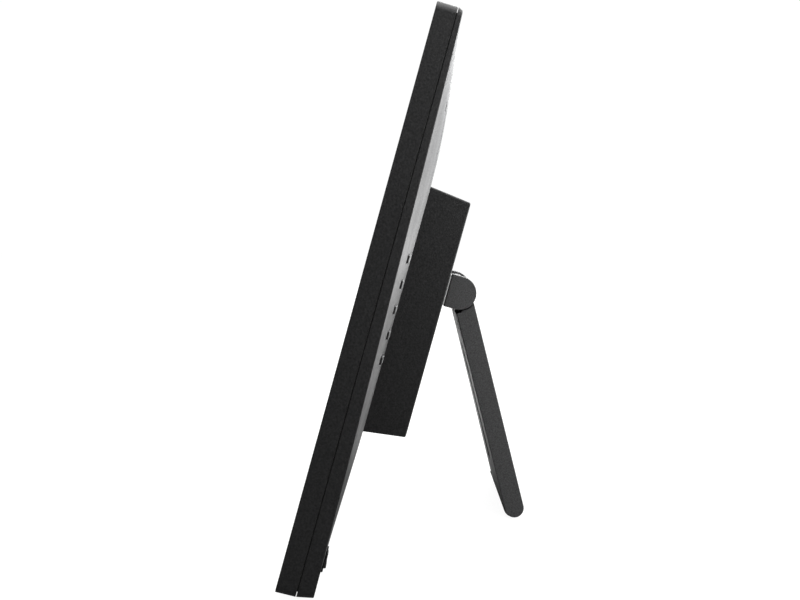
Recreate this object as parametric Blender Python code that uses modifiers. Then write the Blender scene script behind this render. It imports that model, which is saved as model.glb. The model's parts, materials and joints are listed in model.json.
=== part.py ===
"""Digital photo frame that leans back on a folding leg.

Every piece of the frame is drawn in the frame's own upright directions: x along the width, y from the
screen to the back and z up along the front. The empty "lean" then tips the whole frame back, and the
empty "leg_axis" carries the leg on the hinge axis. Metres, with the origin under the middle of the
object's box, on the surface it stands on.
"""
import math

import bmesh
import bpy
from mathutils import Matrix, Vector

MM = 0.001
GAP = 0.3 * MM                     # clearance between pieces that touch

# ---------------------------------------------------------------- driving dimensions
WIDTH = 486 * MM                   # outline of the frame, front view
HEIGHT = 306 * MM
CORNER_RADIUS = 4.5 * MM
LEAN = math.radians(15.46)         # tilt of the screen from upright
GROUND_CLEARANCE = 5.6 * MM        # height of the front lower edge above the table

SCREEN_WIDTH = 409.8 * MM          # picture area of an 18.5 inch, 16:9 panel
SCREEN_HEIGHT = 230.4 * MM
WINDOW_MARGIN = 1.0 * MM           # bezel window beyond the picture area
PANEL_BORDER_X = 10.3 * MM         # panel's metal border beyond the picture area
PANEL_BORDER_Z = 12.1 * MM

BEZEL_DEPTH = 10.7 * MM            # front edge to the parting line
BEZEL_WALL = 2.4 * MM
BEZEL_DRAFT = 0.25 * MM            # outline lost from front to parting line
LIP_WIDTH = 1.2 * MM               # inner lip that closes the parting groove from inside
LIP_OVERLAP = 0.1 * MM             # lip past the front of the rear cover

PANEL_DEPTH = 9.2 * MM             # display module, front to back
PANEL_WALL = 1.2 * MM
PANEL_LIP = 0.8 * MM               # metal in front of the glass
GLASS_THICKNESS = 1.5 * MM
FILM_THICKNESS = 0.6 * MM
GUIDE_THICKNESS = 2.4 * MM
TRAY_THICKNESS = 0.8 * MM
LIGHT_BAR_HEIGHT = 3.0 * MM
DRIVER_BOARD_WIDTH = 190 * MM
DRIVER_BOARD_HEIGHT = 22 * MM
DRIVER_BOARD_RISE = 8 * MM         # above the module's lower edge
BRACKET_WIDTH = 5.0 * MM
BRACKET_HEIGHT = 180 * MM

PARTING_GAP = 0.3 * MM             # shadow groove between bezel and rear cover
COVER_WALL = 1.8 * MM
RIM_HEIGHT_TOP = 2.45 * MM         # side wall of the rear cover, behind the groove
RIM_HEIGHT_BOTTOM = 8.76 * MM
RIM_BULGE = 0.32 * MM              # the back edge bows out this much half way up
RIM_INSET_TOP = 1.2 * MM           # draft of the cover's outline at its back edge
RIM_INSET_BOTTOM = 1.9 * MM
RIM_INSET_SIDE = 0.7 * MM
CROWN_HEIGHT = 12.2 * MM           # flat middle of the domed back, behind the groove
CROWN_WIDTH_X = 130 * MM           # how far the dome rises in from each side
CROWN_WIDTH_Z = 90 * MM

HOUSING_WIDTH = 150 * MM           # electronics housing on the back, at its foot
HOUSING_BOTTOM = 61.7 * MM
HOUSING_TOP = 223.6 * MM
HOUSING_DEPTH = 28.0 * MM          # housing proud of the crown
HOUSING_DRAFT_X = 2.0 * MM
HOUSING_DRAFT_Z = 3.6 * MM
HOUSING_WALL = 2.2 * MM
HOUSING_RADIUS = 1.2 * MM
FLANGE = 5.0 * MM                  # turned-out foot under the rear cover
FLANGE_THICKNESS = 1.4 * MM

BOARD_THICKNESS = 1.6 * MM
BOARD_HEIGHT = 112 * MM
BOARD_RIGHT = 58 * MM              # board's right edge; its left edge meets the socket wall
BOARD_EDGE_ROOM = 1.0 * MM
BOARD_RISE = 26 * MM               # board above the housing's bottom
BOARD_SCREW_X = 52 * MM
BOARD_SCREW_INSET = 8 * MM         # from the board's lower and upper edges
BOARD_SCREW_LENGTH = 7 * MM
SOCKET_REACH = 13 * MM             # sockets, in from the housing wall
SOCKET_TALLEST = 11 * MM
SOCKET_CLEARANCE = 7.1 * MM        # behind the tallest socket
SOCKET_BACK_WALL = 3.0 * MM
HEATSINK_SIDE = 30 * MM
HEATSINK_THICKNESS = 7 * MM
HEATSINK_RISE = 58 * MM
BATTERY_X = 34 * MM
BATTERY_RISE = 72 * MM
BATTERY_RADIUS = 10 * MM
BATTERY_THICKNESS = 3.2 * MM

SPEAKER_X = 40 * MM
SPEAKER_WIDTH = 40 * MM
SPEAKER_DEPTH = 16 * MM
SPEAKER_HEIGHT = 9 * MM
SPEAKER_CLEARANCE = 3.0 * MM       # from the housing's back wall
CONE_RADIUS = 6.5 * MM
CONE_DEPTH = 2.4 * MM
GRILLE_SLOTS = 5
GRILLE_PITCH = 5.5 * MM
GRILLE_SLOT_WIDTH = 2.2 * MM
GRILLE_SLOT_LENGTH = 14 * MM

BUTTON_COUNT = 5
BUTTON_INSET = 48 * MM             # button column, in from the right side
BUTTON_TOP_Z = 178.9 * MM
BUTTON_PITCH = 13.96 * MM
BUTTON_WIDTH = 12 * MM
BUTTON_HEIGHT = 4.4 * MM
BUTTON_PROUD = 1.1 * MM
BUTTON_TRAVEL = 0.6 * MM
BUTTON_ROOM = 0.4 * MM             # clearance round a cap
BUTTON_FOOT_X = 1.2 * MM           # hidden foot beyond the cap
BUTTON_FOOT_Z = 1.0 * MM
BUTTON_FOOT_THICKNESS = 0.8 * MM
BUTTON_BOARD_GAP = 2.0 * MM
BUTTON_BOARD_HALF = 8 * MM
BUTTON_BOARD_END = 9 * MM
SMALL_BOARD_THICKNESS = 1.2 * MM

ROCKER_INSET = 28 * MM             # switch, in from the right side
ROCKER_Z = 16.1 * MM
ROCKER_WIDTH = 8.0 * MM
ROCKER_LENGTH = 9.8 * MM
ROCKER_RIM = 1.2 * MM
ROCKER_RIM_BASE = 0.3 * MM        # rim's underside, above the back
ROCKER_RIM_TOP = 0.8 * MM
ROCKER_BODY_WALL = 0.9 * MM
ROCKER_BODY_DEPTH = 8.0 * MM
ROCKER_FLOOR = 1.2 * MM
ROCKER_PIVOT_DEPTH = 2.0 * MM
ROCKER_CREST = 3.7 * MM            # rocker's ends, above its pivot
ROCKER_END_ROOM = 0.7 * MM
ROCKER_ANGLE = math.radians(5)

AXIS_STANDOFF = 10.1 * MM          # hinge axis behind the housing
AXIS_Z = 162.2 * MM
KNUCKLE_RADIUS = 10.9 * MM
EAR_SPAN = 96 * MM                 # over both outer ends
EAR_WIDTH = 13.5 * MM
BARREL_RADIUS = 9.4 * MM           # leg's barrel and washers, between the ears
WASHER_WIDTH = 3.0 * MM
PIN_RADIUS = 2.3 * MM
PIN_END_WALL = 2.6 * MM            # ear material left beyond the pin
EAR_STANDOFF = 2.3 * MM            # ears' flat clear of the housing
PLATE_INSET = 1.0 * MM             # hinge plate in from the ears' ends
PLATE_EDGE = 0.3 * MM              # and in from the ears' top and bottom
PLATE_WINDOW = 7.52 * MM           # half height of the window behind the barrel
HINGE_SCREW_X = 5.5 * MM           # out from the ears' inner faces
HINGE_SCREW_Z = 6.6 * MM           # above and below the axis
HINGE_SCREW_BITE = 3.2 * MM

LEG_ANGLE = math.radians(29.2)     # leg from the folded position to its stop
LEG_REACH = 142.6 * MM             # hinge axis to the middle of the round foot
LEG_OFFSET = 1.1 * MM              # leg's mid-plane behind the axis
LEG_THICK_TOP = 13.0 * MM
LEG_THICK_FOOT = 12.4 * MM
LEG_HALF_TOP = 45.5 * MM
LEG_HALF_FOOT = 64.0 * MM
LEG_HINGE_GAP = 0.8 * MM
LEG_SHOULDER_DROP = 1.6 * MM       # leg's front shoulder below the ears
LEG_SHOULDER_DEPTH = 1.5 * MM
TONGUE_INSET = 4.0 * MM            # knuckle's tongue in from the barrel's ends
TONGUE_THICKNESS = 5.6 * MM
TONGUE_END = 34 * MM
TONGUE_ROOT = 4.0 * MM
LEG_SCREW_X = 14 * MM
LEG_SCREW_DROP = 24 * MM
LEG_SCREW_LENGTH = 10 * MM
LEG_SCREW_SINK = 0.4 * MM
POCKET_START = 37 * MM             # coring pocket, measured from the axis
POCKET_END = 121 * MM
POCKET_HALF_TOP = 10 * MM
POCKET_HALF_FOOT = 15 * MM
POCKET_DEPTH = 8.5 * MM
PAD_PROUD = 0.6 * MM
PAD_THICK = 2.0 * MM
PAD_END_INSET = 3.0 * MM
PAD_START = math.radians(176)      # rubber strip round the foot, from straight back
PAD_END = math.radians(318)

FOOT_INSET = 23 * MM               # rubber feet under the frame, in from the sides
FOOT_LENGTH = 40 * MM
FOOT_FRONT = 3.5 * MM
FOOT_BACK = 17.5 * MM

SCREW_RADIUS = 1.5 * MM
SCREW_HEAD_RADIUS = 2.8 * MM
SCREW_HEAD = 1.9 * MM
HEAD_ROOM = 4.0 * MM               # counterbore cut past the head
HOUSING_SCREW_INSET = 14 * MM      # in from the housing's sides
HOUSING_SCREW_INSET_Z = 17.5 * MM  # and from its ends
HOUSING_SCREW_LENGTH = 12 * MM
HOUSING_SCREW_SINK = 0.6 * MM
COVER_SCREW_INSET_X = 53 * MM      # in from the frame's sides
COVER_SCREW_INSET_Z = 44 * MM      # and from its ends
COVER_SCREW_LENGTH = 6 * MM
COVER_SCREW_SINK = 0.4 * MM

CABLE_THICKNESS = 0.3 * MM
CABLE_CLEARANCE = 2.7 * MM         # behind the display module
SCREEN_CABLE_WIDTH = 24 * MM
SCREEN_CABLE_LENGTH = 70 * MM
SCREEN_CABLE_DROP = 60 * MM        # its lower end, below the middle
BUTTON_CABLE_WIDTH = 8 * MM
BUTTON_CABLE_START = 9 * MM        # right of the housing wall
BUTTON_CABLE_END = 7 * MM          # short of the button board

# ---------------------------------------------------------------- sizes that follow
HALF_WIDTH = WIDTH / 2
HALF_HOUSING = HOUSING_WIDTH / 2
MIDDLE_Z = HEIGHT / 2
COVER_FRONT = BEZEL_DEPTH + PARTING_GAP
RIM_DEPTH_TOP = COVER_FRONT + RIM_HEIGHT_TOP
RIM_DEPTH_BOTTOM = COVER_FRONT + RIM_HEIGHT_BOTTOM
CROWN_DEPTH = COVER_FRONT + CROWN_HEIGHT
HOUSING_BACK = CROWN_DEPTH + HOUSING_DEPTH
AXIS_DEPTH = HOUSING_BACK + AXIS_STANDOFF
BUTTON_X = HALF_WIDTH - BUTTON_INSET
ROCKER_X = HALF_WIDTH - ROCKER_INSET
PANEL_FRONT = BEZEL_WALL + GAP
PANEL_BACK = PANEL_FRONT + PANEL_DEPTH
BOARD_BACK = HOUSING_BACK - HOUSING_WALL - SOCKET_CLEARANCE - SOCKET_TALLEST - GAP
BOARD_BOTTOM = HOUSING_BOTTOM + BOARD_RISE
WINDOW_X = SCREEN_WIDTH / 2 + WINDOW_MARGIN
WINDOW_Z = SCREEN_HEIGHT / 2 + WINDOW_MARGIN
PANEL_X = SCREEN_WIDTH / 2 + PANEL_BORDER_X
PANEL_Z = SCREEN_HEIGHT / 2 + PANEL_BORDER_Z

LEG_MID = Vector((0, LEG_OFFSET, -LEG_REACH))               # middle of the foot, leg folded
FOOT_MID = Matrix.Rotation(LEG_ANGLE, 3, "X") @ LEG_MID + Vector((0, AXIS_DEPTH, AXIS_Z))
PAD_RADIUS = LEG_THICK_FOOT / 2 + PAD_PROUD
LEG_FRONT = LEG_OFFSET - LEG_THICK_TOP / 2
EAR_INNER = EAR_SPAN / 2 - EAR_WIDTH
BORE_RADIUS = PIN_RADIUS + GAP
TIP = Matrix.Rotation(-LEAN, 3, "X")
DEPTH = (TIP @ FOOT_MID).y + PAD_RADIUS                     # front lower edge to the back of the foot
PLACE = Vector((0, -DEPTH / 2, GROUND_CLEARANCE))           # front lower edge, in the world

MOUTH_ROOM = 0.6 * MM              # round a socket's mouth, through the housing wall
ROUND_SOCKETS = ("dc_inlet", "audio_jack")
SOCKETS = {                        # mm: height up the board, depth and height, mouth depth and height
    "dc_inlet": (14, 11.0, 9.0, 6.4, 6.4),
    "usb_port": (36, 7.0, 14.0, 5.2, 12.4),
    "card_slot": (64, 4.2, 28.0, 2.6, 24.6),
    "audio_jack": (90, 7.0, 7.0, 4.4, 4.4),
}

COLOURS = {
    "moulding": ((0.018, 0.018, 0.019), 0.55, 0.0),
    "leg_plastic": ((0.045, 0.045, 0.046), 0.5, 0.0),
    "rubber": ((0.012, 0.012, 0.012), 0.85, 0.0),
    "steel": ((0.55, 0.55, 0.56), 0.35, 1.0),
    "black_screw": ((0.05, 0.05, 0.05), 0.4, 1.0),
    "screen": ((0.01, 0.011, 0.012), 0.25, 0.0),
    "film": ((0.85, 0.86, 0.84), 0.4, 0.0),
    "board": ((0.02, 0.13, 0.06), 0.5, 0.0),
    "alloy": ((0.6, 0.61, 0.62), 0.45, 1.0),
    "connector": ((0.03, 0.03, 0.03), 0.45, 0.0),
    "cable": ((0.75, 0.75, 0.72), 0.5, 0.0),
    "button_plastic": ((0.03, 0.03, 0.03), 0.4, 0.0),
}


# ---------------------------------------------------------------- making pieces
def clear_scene():
    for obj in list(bpy.data.objects):
        bpy.data.objects.remove(obj, do_unlink=True)


def make_material(name):
    colour, roughness, metallic = COLOURS[name]
    material = bpy.data.materials.new(name)
    material.use_nodes = True
    shader = material.node_tree.nodes["Principled BSDF"]
    shader.inputs["Base Color"].default_value = (*colour, 1)
    shader.inputs["Roughness"].default_value = roughness
    shader.inputs["Metallic"].default_value = metallic
    return material


def make_empty(name, location, turn, parent=None):
    empty = bpy.data.objects.new(name, None)
    empty.location = location
    empty.rotation_euler = (turn, 0, 0)
    empty.parent = parent
    parts.objects.link(empty)
    return empty


def finish(name, bm, material, parent):
    """Turn a bmesh into a named piece, drawn in its parent's directions."""
    bmesh.ops.recalc_face_normals(bm, faces=bm.faces)
    mesh = bpy.data.meshes.new(name)
    bm.to_mesh(mesh)
    bm.free()
    obj = bpy.data.objects.new(name, mesh)
    obj.parent = parent
    if material is None:
        cutters.objects.link(obj)
        obj.hide_render = True
        obj.display_type = "WIRE"
    else:
        parts.objects.link(obj)
        mesh.materials.append(materials[material])
    return obj


def block(name, low, high, material=None, parent=None, edges=None, radius=0, segments=2):
    """A box between two corners. edges is "x", "y" or "z" for the edges that run that way, or "all"."""
    bm = bmesh.new()
    bmesh.ops.create_cube(bm, size=1)
    low = Vector(low)
    high = Vector(high)
    size = high - low
    bmesh.ops.scale(bm, vec=size, verts=bm.verts)
    bmesh.ops.translate(bm, vec=(low + high) / 2, verts=bm.verts)
    if edges:
        chosen = [e for e in bm.edges if edges == "all" or runs_along(e, edges)]
        bmesh.ops.bevel(bm, geom=chosen, offset=radius, segments=segments, profile=0.5,
                        affect="EDGES", material=-1)
    return finish(name, bm, material, parent or lean)


def runs_along(edge, axis):
    way = (edge.verts[1].co - edge.verts[0].co).normalized()
    return abs(way["xyz".index(axis)]) > 0.99


def rod(name, centre, axis, radius, length, material=None, parent=None, segments=20):
    """A round bar along "x", "y" or "z"."""
    bm = bmesh.new()
    bmesh.ops.create_cone(bm, cap_ends=True, segments=segments, radius1=radius, radius2=radius,
                          depth=length)
    turn = {"x": Matrix.Rotation(math.pi / 2, 3, "Y"), "y": Matrix.Rotation(math.pi / 2, 3, "X"),
            "z": Matrix.Identity(3)}[axis]
    bmesh.ops.rotate(bm, matrix=turn, verts=bm.verts)
    bmesh.ops.translate(bm, vec=centre, verts=bm.verts)
    obj = finish(name, bm, material, parent or lean)
    obj.data.shade_smooth()
    obj.data.set_sharp_from_angle(angle=math.radians(40))
    return obj


def prism(name, outline, x_low, x_high, material=None, parent=None):
    """An outline of (y, z) points, drawn out along x."""
    bm = bmesh.new()
    face = bm.faces.new([bm.verts.new((x_low, y, z)) for y, z in outline])
    drawn = bmesh.ops.extrude_face_region(bm, geom=[face])
    moved = [v for v in drawn["geom"] if isinstance(v, bmesh.types.BMVert)]
    bmesh.ops.translate(bm, vec=(x_high - x_low, 0, 0), verts=moved)
    return finish(name, bm, material, parent or lean)


def combine(obj, other, operation):
    modifier = obj.modifiers.new(operation.lower(), "BOOLEAN")
    modifier.operation = operation
    modifier.solver = "EXACT"
    modifier.object = other


def cut(obj, *others):
    for other in others:
        combine(obj, other, "DIFFERENCE")


def join(obj, *others):
    for other in others:
        combine(obj, other, "UNION")


def arc(centre, radius, start, end, steps):
    """Points on an arc in the y-z plane; 0 points along +y, and angles turn towards +z."""
    return [(centre[0] + radius * math.cos(start + (end - start) * i / steps),
             centre[1] + radius * math.sin(start + (end - start) * i / steps)) for i in range(steps + 1)]


def screw(name, head_top, length, way, material="black_screw", parent=None):
    """A pan-head screw along y; way is +1 where the shank points to the back, -1 to the front."""
    x, y, z = head_top
    bm = bmesh.new()
    profile = [(0, 0), (SCREW_HEAD_RADIUS, 0), (SCREW_HEAD_RADIUS, SCREW_HEAD),
               (SCREW_RADIUS, SCREW_HEAD), (SCREW_RADIUS, length), (0, length)]
    points = [bm.verts.new((r, way * d, 0)) for r, d in profile]
    edges = [bm.edges.new(pair) for pair in zip(points, points[1:])]
    bmesh.ops.spin(bm, geom=edges + points, cent=(0, 0, 0), axis=(0, 1, 0), angle=2 * math.pi,
                   steps=12, use_merge=True)
    bmesh.ops.remove_doubles(bm, verts=bm.verts, dist=0.01 * MM)
    bmesh.ops.translate(bm, vec=(x, y, z), verts=bm.verts)
    return finish(name, bm, material, parent or lean)


def screw_hole(name, head_top, length, way, parent=None):
    """The cutter for a screw: a counterbore for the head and a hole for the shank."""
    x, y, z = head_top
    head_y = y + way * (SCREW_HEAD - HEAD_ROOM) / 2
    head = rod(name + "_head", (x, head_y, z), "y", SCREW_HEAD_RADIUS + GAP, SCREW_HEAD + HEAD_ROOM + GAP,
               parent=parent, segments=16)
    shank = rod(name + "_shank", (x, y + way * (length / 2), z), "y", SCREW_RADIUS + GAP,
                length + 2 * SCREW_HEAD, parent=parent, segments=12)
    return head, shank


# ---------------------------------------------------------------- the back's shape
def rim_depth(z):
    """Depth of the side wall's back edge at a height up the frame."""
    share = z / HEIGHT
    return (RIM_DEPTH_BOTTOM + (RIM_DEPTH_TOP - RIM_DEPTH_BOTTOM) * share
            + RIM_BULGE * 4 * share * (1 - share))


def rise(distance, width):
    """0 at the edge, 1 at width and beyond, rounding over smoothly."""
    return 1 - (1 - min(max(distance / width, 0), 1)) ** 2


def back_depth(x, z):
    """Depth of the domed back."""
    edge = min(z, HEIGHT - z)
    dome = rise(HALF_WIDTH - abs(x), CROWN_WIDTH_X) * rise(edge, CROWN_WIDTH_Z)
    return rim_depth(z) + (CROWN_DEPTH - rim_depth(z)) * dome


def back_slope(x, z):
    """How much the back leans sideways at a point, as a turn about z."""
    step = BUTTON_WIDTH / 6
    return math.atan2(back_depth(x + step, z) - back_depth(x - step, z), 2 * step)


# ---------------------------------------------------------------- bezel and screen
def front_bezel():
    outer = slab("front_bezel", 0, BEZEL_DEPTH, 0, BEZEL_DRAFT, "moulding")
    lip_inset = BEZEL_DRAFT + COVER_WALL + 3 * GAP
    lip_depth = COVER_FRONT + LIP_OVERLAP
    lip = slab("bezel_lip_add", BEZEL_WALL + GAP, lip_depth, lip_inset, lip_inset)
    hollow_inset = lip_inset + LIP_WIDTH
    hollow = slab("bezel_hollow_cut", BEZEL_WALL, lip_depth + BEZEL_WALL, hollow_inset, hollow_inset)
    window = block("bezel_window_cut", (-WINDOW_X, -BEZEL_WALL, MIDDLE_Z - WINDOW_Z),
                   (WINDOW_X, 2 * BEZEL_WALL, MIDDLE_Z + WINDOW_Z))
    join(outer, lip)
    cut(outer, hollow, window)


def slab(name, y_low, y_high, inset_low, inset_high, material=None):
    """A plate of the frame's outline whose edge is drawn in by the insets at its front and back."""
    bm = bmesh.new()
    bmesh.ops.create_cube(bm, size=1)
    for vert in bm.verts:
        inset = inset_low if vert.co.y < 0 else inset_high
        vert.co = (math.copysign(HALF_WIDTH - inset, vert.co.x),
                   y_low if vert.co.y < 0 else y_high,
                   inset if vert.co.z < 0 else HEIGHT - inset)
    corners = [e for e in bm.edges if abs(e.verts[0].co.y - e.verts[1].co.y) > 0.5 * (y_high - y_low)]
    radius = max(CORNER_RADIUS - inset_low, 1 * MM)
    bmesh.ops.bevel(bm, geom=corners, offset=radius, segments=4, profile=0.5, affect="EDGES",
                    material=-1)
    return finish(name, bm, material, lean)


def screen_panel():
    """The display module: metal frame, glass, film, light guide, light bar, tray and driver board."""
    low = (-PANEL_X, PANEL_FRONT, MIDDLE_Z - PANEL_Z)
    high = (PANEL_X, PANEL_BACK, MIDDLE_Z + PANEL_Z)
    ring = block("panel_frame", low, high, "alloy")
    inner_x = PANEL_X - PANEL_WALL
    inner_z = PANEL_Z - PANEL_WALL
    hollow = block("panel_hollow_cut", (-inner_x, PANEL_FRONT + PANEL_LIP, MIDDLE_Z - inner_z),
                   (inner_x, 2 * PANEL_BACK, MIDDLE_Z + inner_z))
    window = block("panel_window_cut", (-SCREEN_WIDTH / 2, 0, MIDDLE_Z - SCREEN_HEIGHT / 2),
                   (SCREEN_WIDTH / 2, PANEL_FRONT + 2 * PANEL_LIP, MIDDLE_Z + SCREEN_HEIGHT / 2))
    cut(ring, hollow, window)

    x = inner_x - GAP
    z = inner_z - GAP
    depth = PANEL_FRONT + PANEL_LIP + GAP
    layers = (("lcd_glass", GLASS_THICKNESS, "screen"), ("diffuser_film", FILM_THICKNESS, "film"),
              ("light_guide", GUIDE_THICKNESS, "film"), ("panel_tray", TRAY_THICKNESS, "alloy"))
    for name, thickness, material in layers:
        bottom = MIDDLE_Z - z
        if name == "light_guide":
            bar_top = bottom + LIGHT_BAR_HEIGHT
            block("light_bar", (-x, depth, bottom), (x, depth + thickness, bar_top), "film")
            bottom = bar_top + GAP
        block(name, (-x, depth, bottom), (x, depth + thickness, MIDDLE_Z + z), material)
        depth += thickness + GAP
    board_x = DRIVER_BOARD_WIDTH / 2
    board_z = MIDDLE_Z - PANEL_Z + DRIVER_BOARD_RISE
    block("panel_driver_board", (-board_x, depth, board_z),
          (board_x, depth + SMALL_BOARD_THICKNESS, board_z + DRIVER_BOARD_HEIGHT), "board")
    for side, name in ((-1, "left"), (1, "right")):
        xs = sorted((side * (PANEL_X + GAP), side * (PANEL_X + GAP + BRACKET_WIDTH)))
        block("panel_bracket_" + name, (xs[0], PANEL_FRONT, MIDDLE_Z - BRACKET_HEIGHT / 2),
              (xs[1], PANEL_BACK, MIDDLE_Z + BRACKET_HEIGHT / 2), "alloy")


# ---------------------------------------------------------------- rear cover
def rear_cover():
    """A domed tray, open to the front; its opening lets the housing through."""
    bm = bmesh.new()
    bmesh.ops.create_grid(bm, x_segments=24, y_segments=18, size=1)
    for vert in bm.verts:
        u, v = vert.co.x, vert.co.y
        inset_z = RIM_INSET_TOP if v > 0 else RIM_INSET_BOTTOM
        x = u * (HALF_WIDTH - RIM_INSET_SIDE)
        z = MIDDLE_Z + v * (MIDDLE_Z - inset_z)
        vert.co = (x, back_depth(x, z), z)
    rim = [e for e in bm.edges if e.is_boundary]
    wall = bmesh.ops.extrude_edge_only(bm, edges=rim)
    front = [v for v in wall["geom"] if isinstance(v, bmesh.types.BMVert)]
    for vert in front:
        at_side = abs(abs(vert.co.x) - (HALF_WIDTH - RIM_INSET_SIDE)) < 0.01 * MM
        at_end = min(vert.co.z - RIM_INSET_BOTTOM, HEIGHT - RIM_INSET_TOP - vert.co.z) < 0.01 * MM
        if at_side:
            vert.co.x = math.copysign(HALF_WIDTH - BEZEL_DRAFT, vert.co.x)
        if at_end:
            vert.co.z = BEZEL_DRAFT if vert.co.z < MIDDLE_Z else HEIGHT - BEZEL_DRAFT
        vert.co.y = COVER_FRONT - 2 * GAP
    corners = [e for e in bm.edges if is_corner(e)]
    bmesh.ops.bevel(bm, geom=corners, offset=CORNER_RADIUS, segments=3, profile=0.5, affect="EDGES",
                    material=-1)
    cover = finish("rear_cover", bm, "moulding", lean)
    shell = cover.modifiers.new("wall", "SOLIDIFY")
    shell.thickness = COVER_WALL
    shell.offset = -1
    shell.use_even_offset = True
    front_trim = block("cover_front_cut", (-WIDTH, 0, -HEIGHT), (WIDTH, COVER_FRONT, 2 * HEIGHT))
    opening = block("housing_opening_cut",
                    (-HALF_HOUSING - GAP, CROWN_DEPTH - CROWN_HEIGHT, HOUSING_BOTTOM - GAP),
                    (HALF_HOUSING + GAP, CROWN_DEPTH + CROWN_HEIGHT, HOUSING_TOP + GAP))
    cut(cover, front_trim, opening)
    return cover


def is_corner(edge):
    """True for the four edges where two side walls meet."""
    first, second = edge.verts
    limit = HALF_WIDTH - RIM_INSET_SIDE - GAP
    at_side = abs(first.co.x) > limit and abs(second.co.x) > limit
    at_end = all(v.co.z < RIM_INSET_BOTTOM + GAP or v.co.z > HEIGHT - RIM_INSET_TOP - GAP
                 for v in edge.verts)
    return at_side and at_end and abs(first.co.y - second.co.y) > GAP


# ---------------------------------------------------------------- electronics housing
def housing_section(y):
    """Half width, bottom and top of the housing's outside at a depth."""
    share = (y - CROWN_DEPTH) / (HOUSING_BACK - CROWN_DEPTH)
    share = max(share, 0)
    return (HALF_HOUSING - HOUSING_DRAFT_X * share, HOUSING_BOTTOM + HOUSING_DRAFT_Z * share,
            HOUSING_TOP - HOUSING_DRAFT_Z * share)


def housing_shape(name, y_low, y_high, inset, radius, material=None):
    """The housing's tapering outline between two depths, drawn in by inset."""
    bm = bmesh.new()
    bmesh.ops.create_cube(bm, size=1)
    for vert in bm.verts:
        y = y_low if vert.co.y < 0 else y_high
        half, bottom, top = housing_section(y)
        vert.co = (math.copysign(half - inset, vert.co.x), y,
                   bottom + inset if vert.co.z < 0 else top - inset)
    if radius:
        chosen = [e for e in bm.edges if max(v.co.y for v in e.verts) > y_low + GAP]
        bmesh.ops.bevel(bm, geom=chosen, offset=radius, segments=3, profile=0.5, affect="EDGES",
                        material=-1)
    return finish(name, bm, material, lean)


def housing_cover():
    inner_back = back_depth(HALF_HOUSING, HOUSING_BOTTOM) - COVER_WALL - GAP
    flange_front = inner_back - FLANGE_THICKNESS
    outer = housing_shape("housing_cover", flange_front + FLANGE_THICKNESS / 2, HOUSING_BACK, 0,
                          HOUSING_RADIUS, "moulding")
    flange = block("housing_flange_add", (-HALF_HOUSING - FLANGE, flange_front, HOUSING_BOTTOM - FLANGE),
                   (HALF_HOUSING + FLANGE, inner_back, HOUSING_TOP + FLANGE))
    hollow = housing_shape("housing_hollow_cut", flange_front - FLANGE_THICKNESS,
                           HOUSING_BACK - HOUSING_WALL, HOUSING_WALL, 0)
    join(outer, flange)
    cut(outer, hollow)
    return outer


def electronics(housing):
    """Main board and what it carries; its sockets open through the housing's left side wall."""
    board_front = BOARD_BACK - BOARD_THICKNESS
    left = housing_section(BOARD_BACK)[0] - HOUSING_WALL - GAP - BOARD_EDGE_ROOM
    board = block("main_board", (-left, board_front, BOARD_BOTTOM),
                  (BOARD_RIGHT, BOARD_BACK, BOARD_BOTTOM + BOARD_HEIGHT), "board")
    number = 0
    for up in (BOARD_SCREW_INSET, BOARD_HEIGHT - BOARD_SCREW_INSET):
        for x in (-BOARD_SCREW_X, BOARD_SCREW_X):
            number += 1
            place = (x, BOARD_BACK + GAP + SCREW_HEAD, BOARD_BOTTOM + up)
            screw(f"board_screw_{number}", place, BOARD_SCREW_LENGTH, -1, "steel")
            cut(board, rod(f"board_hole_cut_{number}", (x, board_front, place[2]), "y", SCREW_RADIUS + GAP,
                           BOARD_SCREW_LENGTH, segments=12))
    top = BOARD_BACK + GAP
    sink_low = BOARD_BOTTOM + HEATSINK_RISE
    block("processor_heatsink", (-HEATSINK_SIDE / 2, top, sink_low),
          (HEATSINK_SIDE / 2, top + HEATSINK_THICKNESS, sink_low + HEATSINK_SIDE), "alloy")
    rod("clock_battery", (BATTERY_X, top + BATTERY_THICKNESS / 2, BOARD_BOTTOM + BATTERY_RISE), "y",
        BATTERY_RADIUS, BATTERY_THICKNESS, "steel")
    for name, size in SOCKETS.items():
        socket(name, *[value * MM for value in size], housing)
    for side, name in ((-1, "left"), (1, "right")):
        speaker(name, side * SPEAKER_X, housing)


def socket(name, up, deep, tall, mouth_deep, mouth_tall, housing):
    """A connector on the board's left edge, with its mouth, and the way to it through the wall."""
    front = BOARD_BACK + GAP
    y = front + deep / 2
    z = BOARD_BOTTOM + up
    outer = -(housing_section(y)[0] - HOUSING_WALL - 2 * GAP)
    inner = outer + SOCKET_REACH
    mouth_end = inner - SOCKET_BACK_WALL
    wall = -HALF_HOUSING
    through = 2 * HOUSING_DRAFT_X + HOUSING_WALL
    body = block(name, (outer, front, z - tall / 2), (inner, front + deep, z + tall / 2), "connector")
    if name in ROUND_SOCKETS:
        depth = mouth_end - outer
        mouth = rod(name + "_mouth_cut", (mouth_end - depth, y, z), "x", mouth_deep / 2, 2 * depth)
        way = rod(name + "_wall_cut", (wall, y, z), "x", mouth_deep / 2 + MOUTH_ROOM, 2 * through)
    else:
        half_y = mouth_deep / 2
        half_z = mouth_tall / 2
        mouth = block(name + "_mouth_cut", (outer - GAP, y - half_y, z - half_z),
                      (mouth_end, y + half_y, z + half_z))
        way = block(name + "_wall_cut", (wall - through, y - half_y - MOUTH_ROOM, z - half_z - MOUTH_ROOM),
                    (wall + through, y + half_y + MOUTH_ROOM, z + half_z + MOUTH_ROOM))
    cut(body, mouth)
    cut(housing, way)


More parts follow.
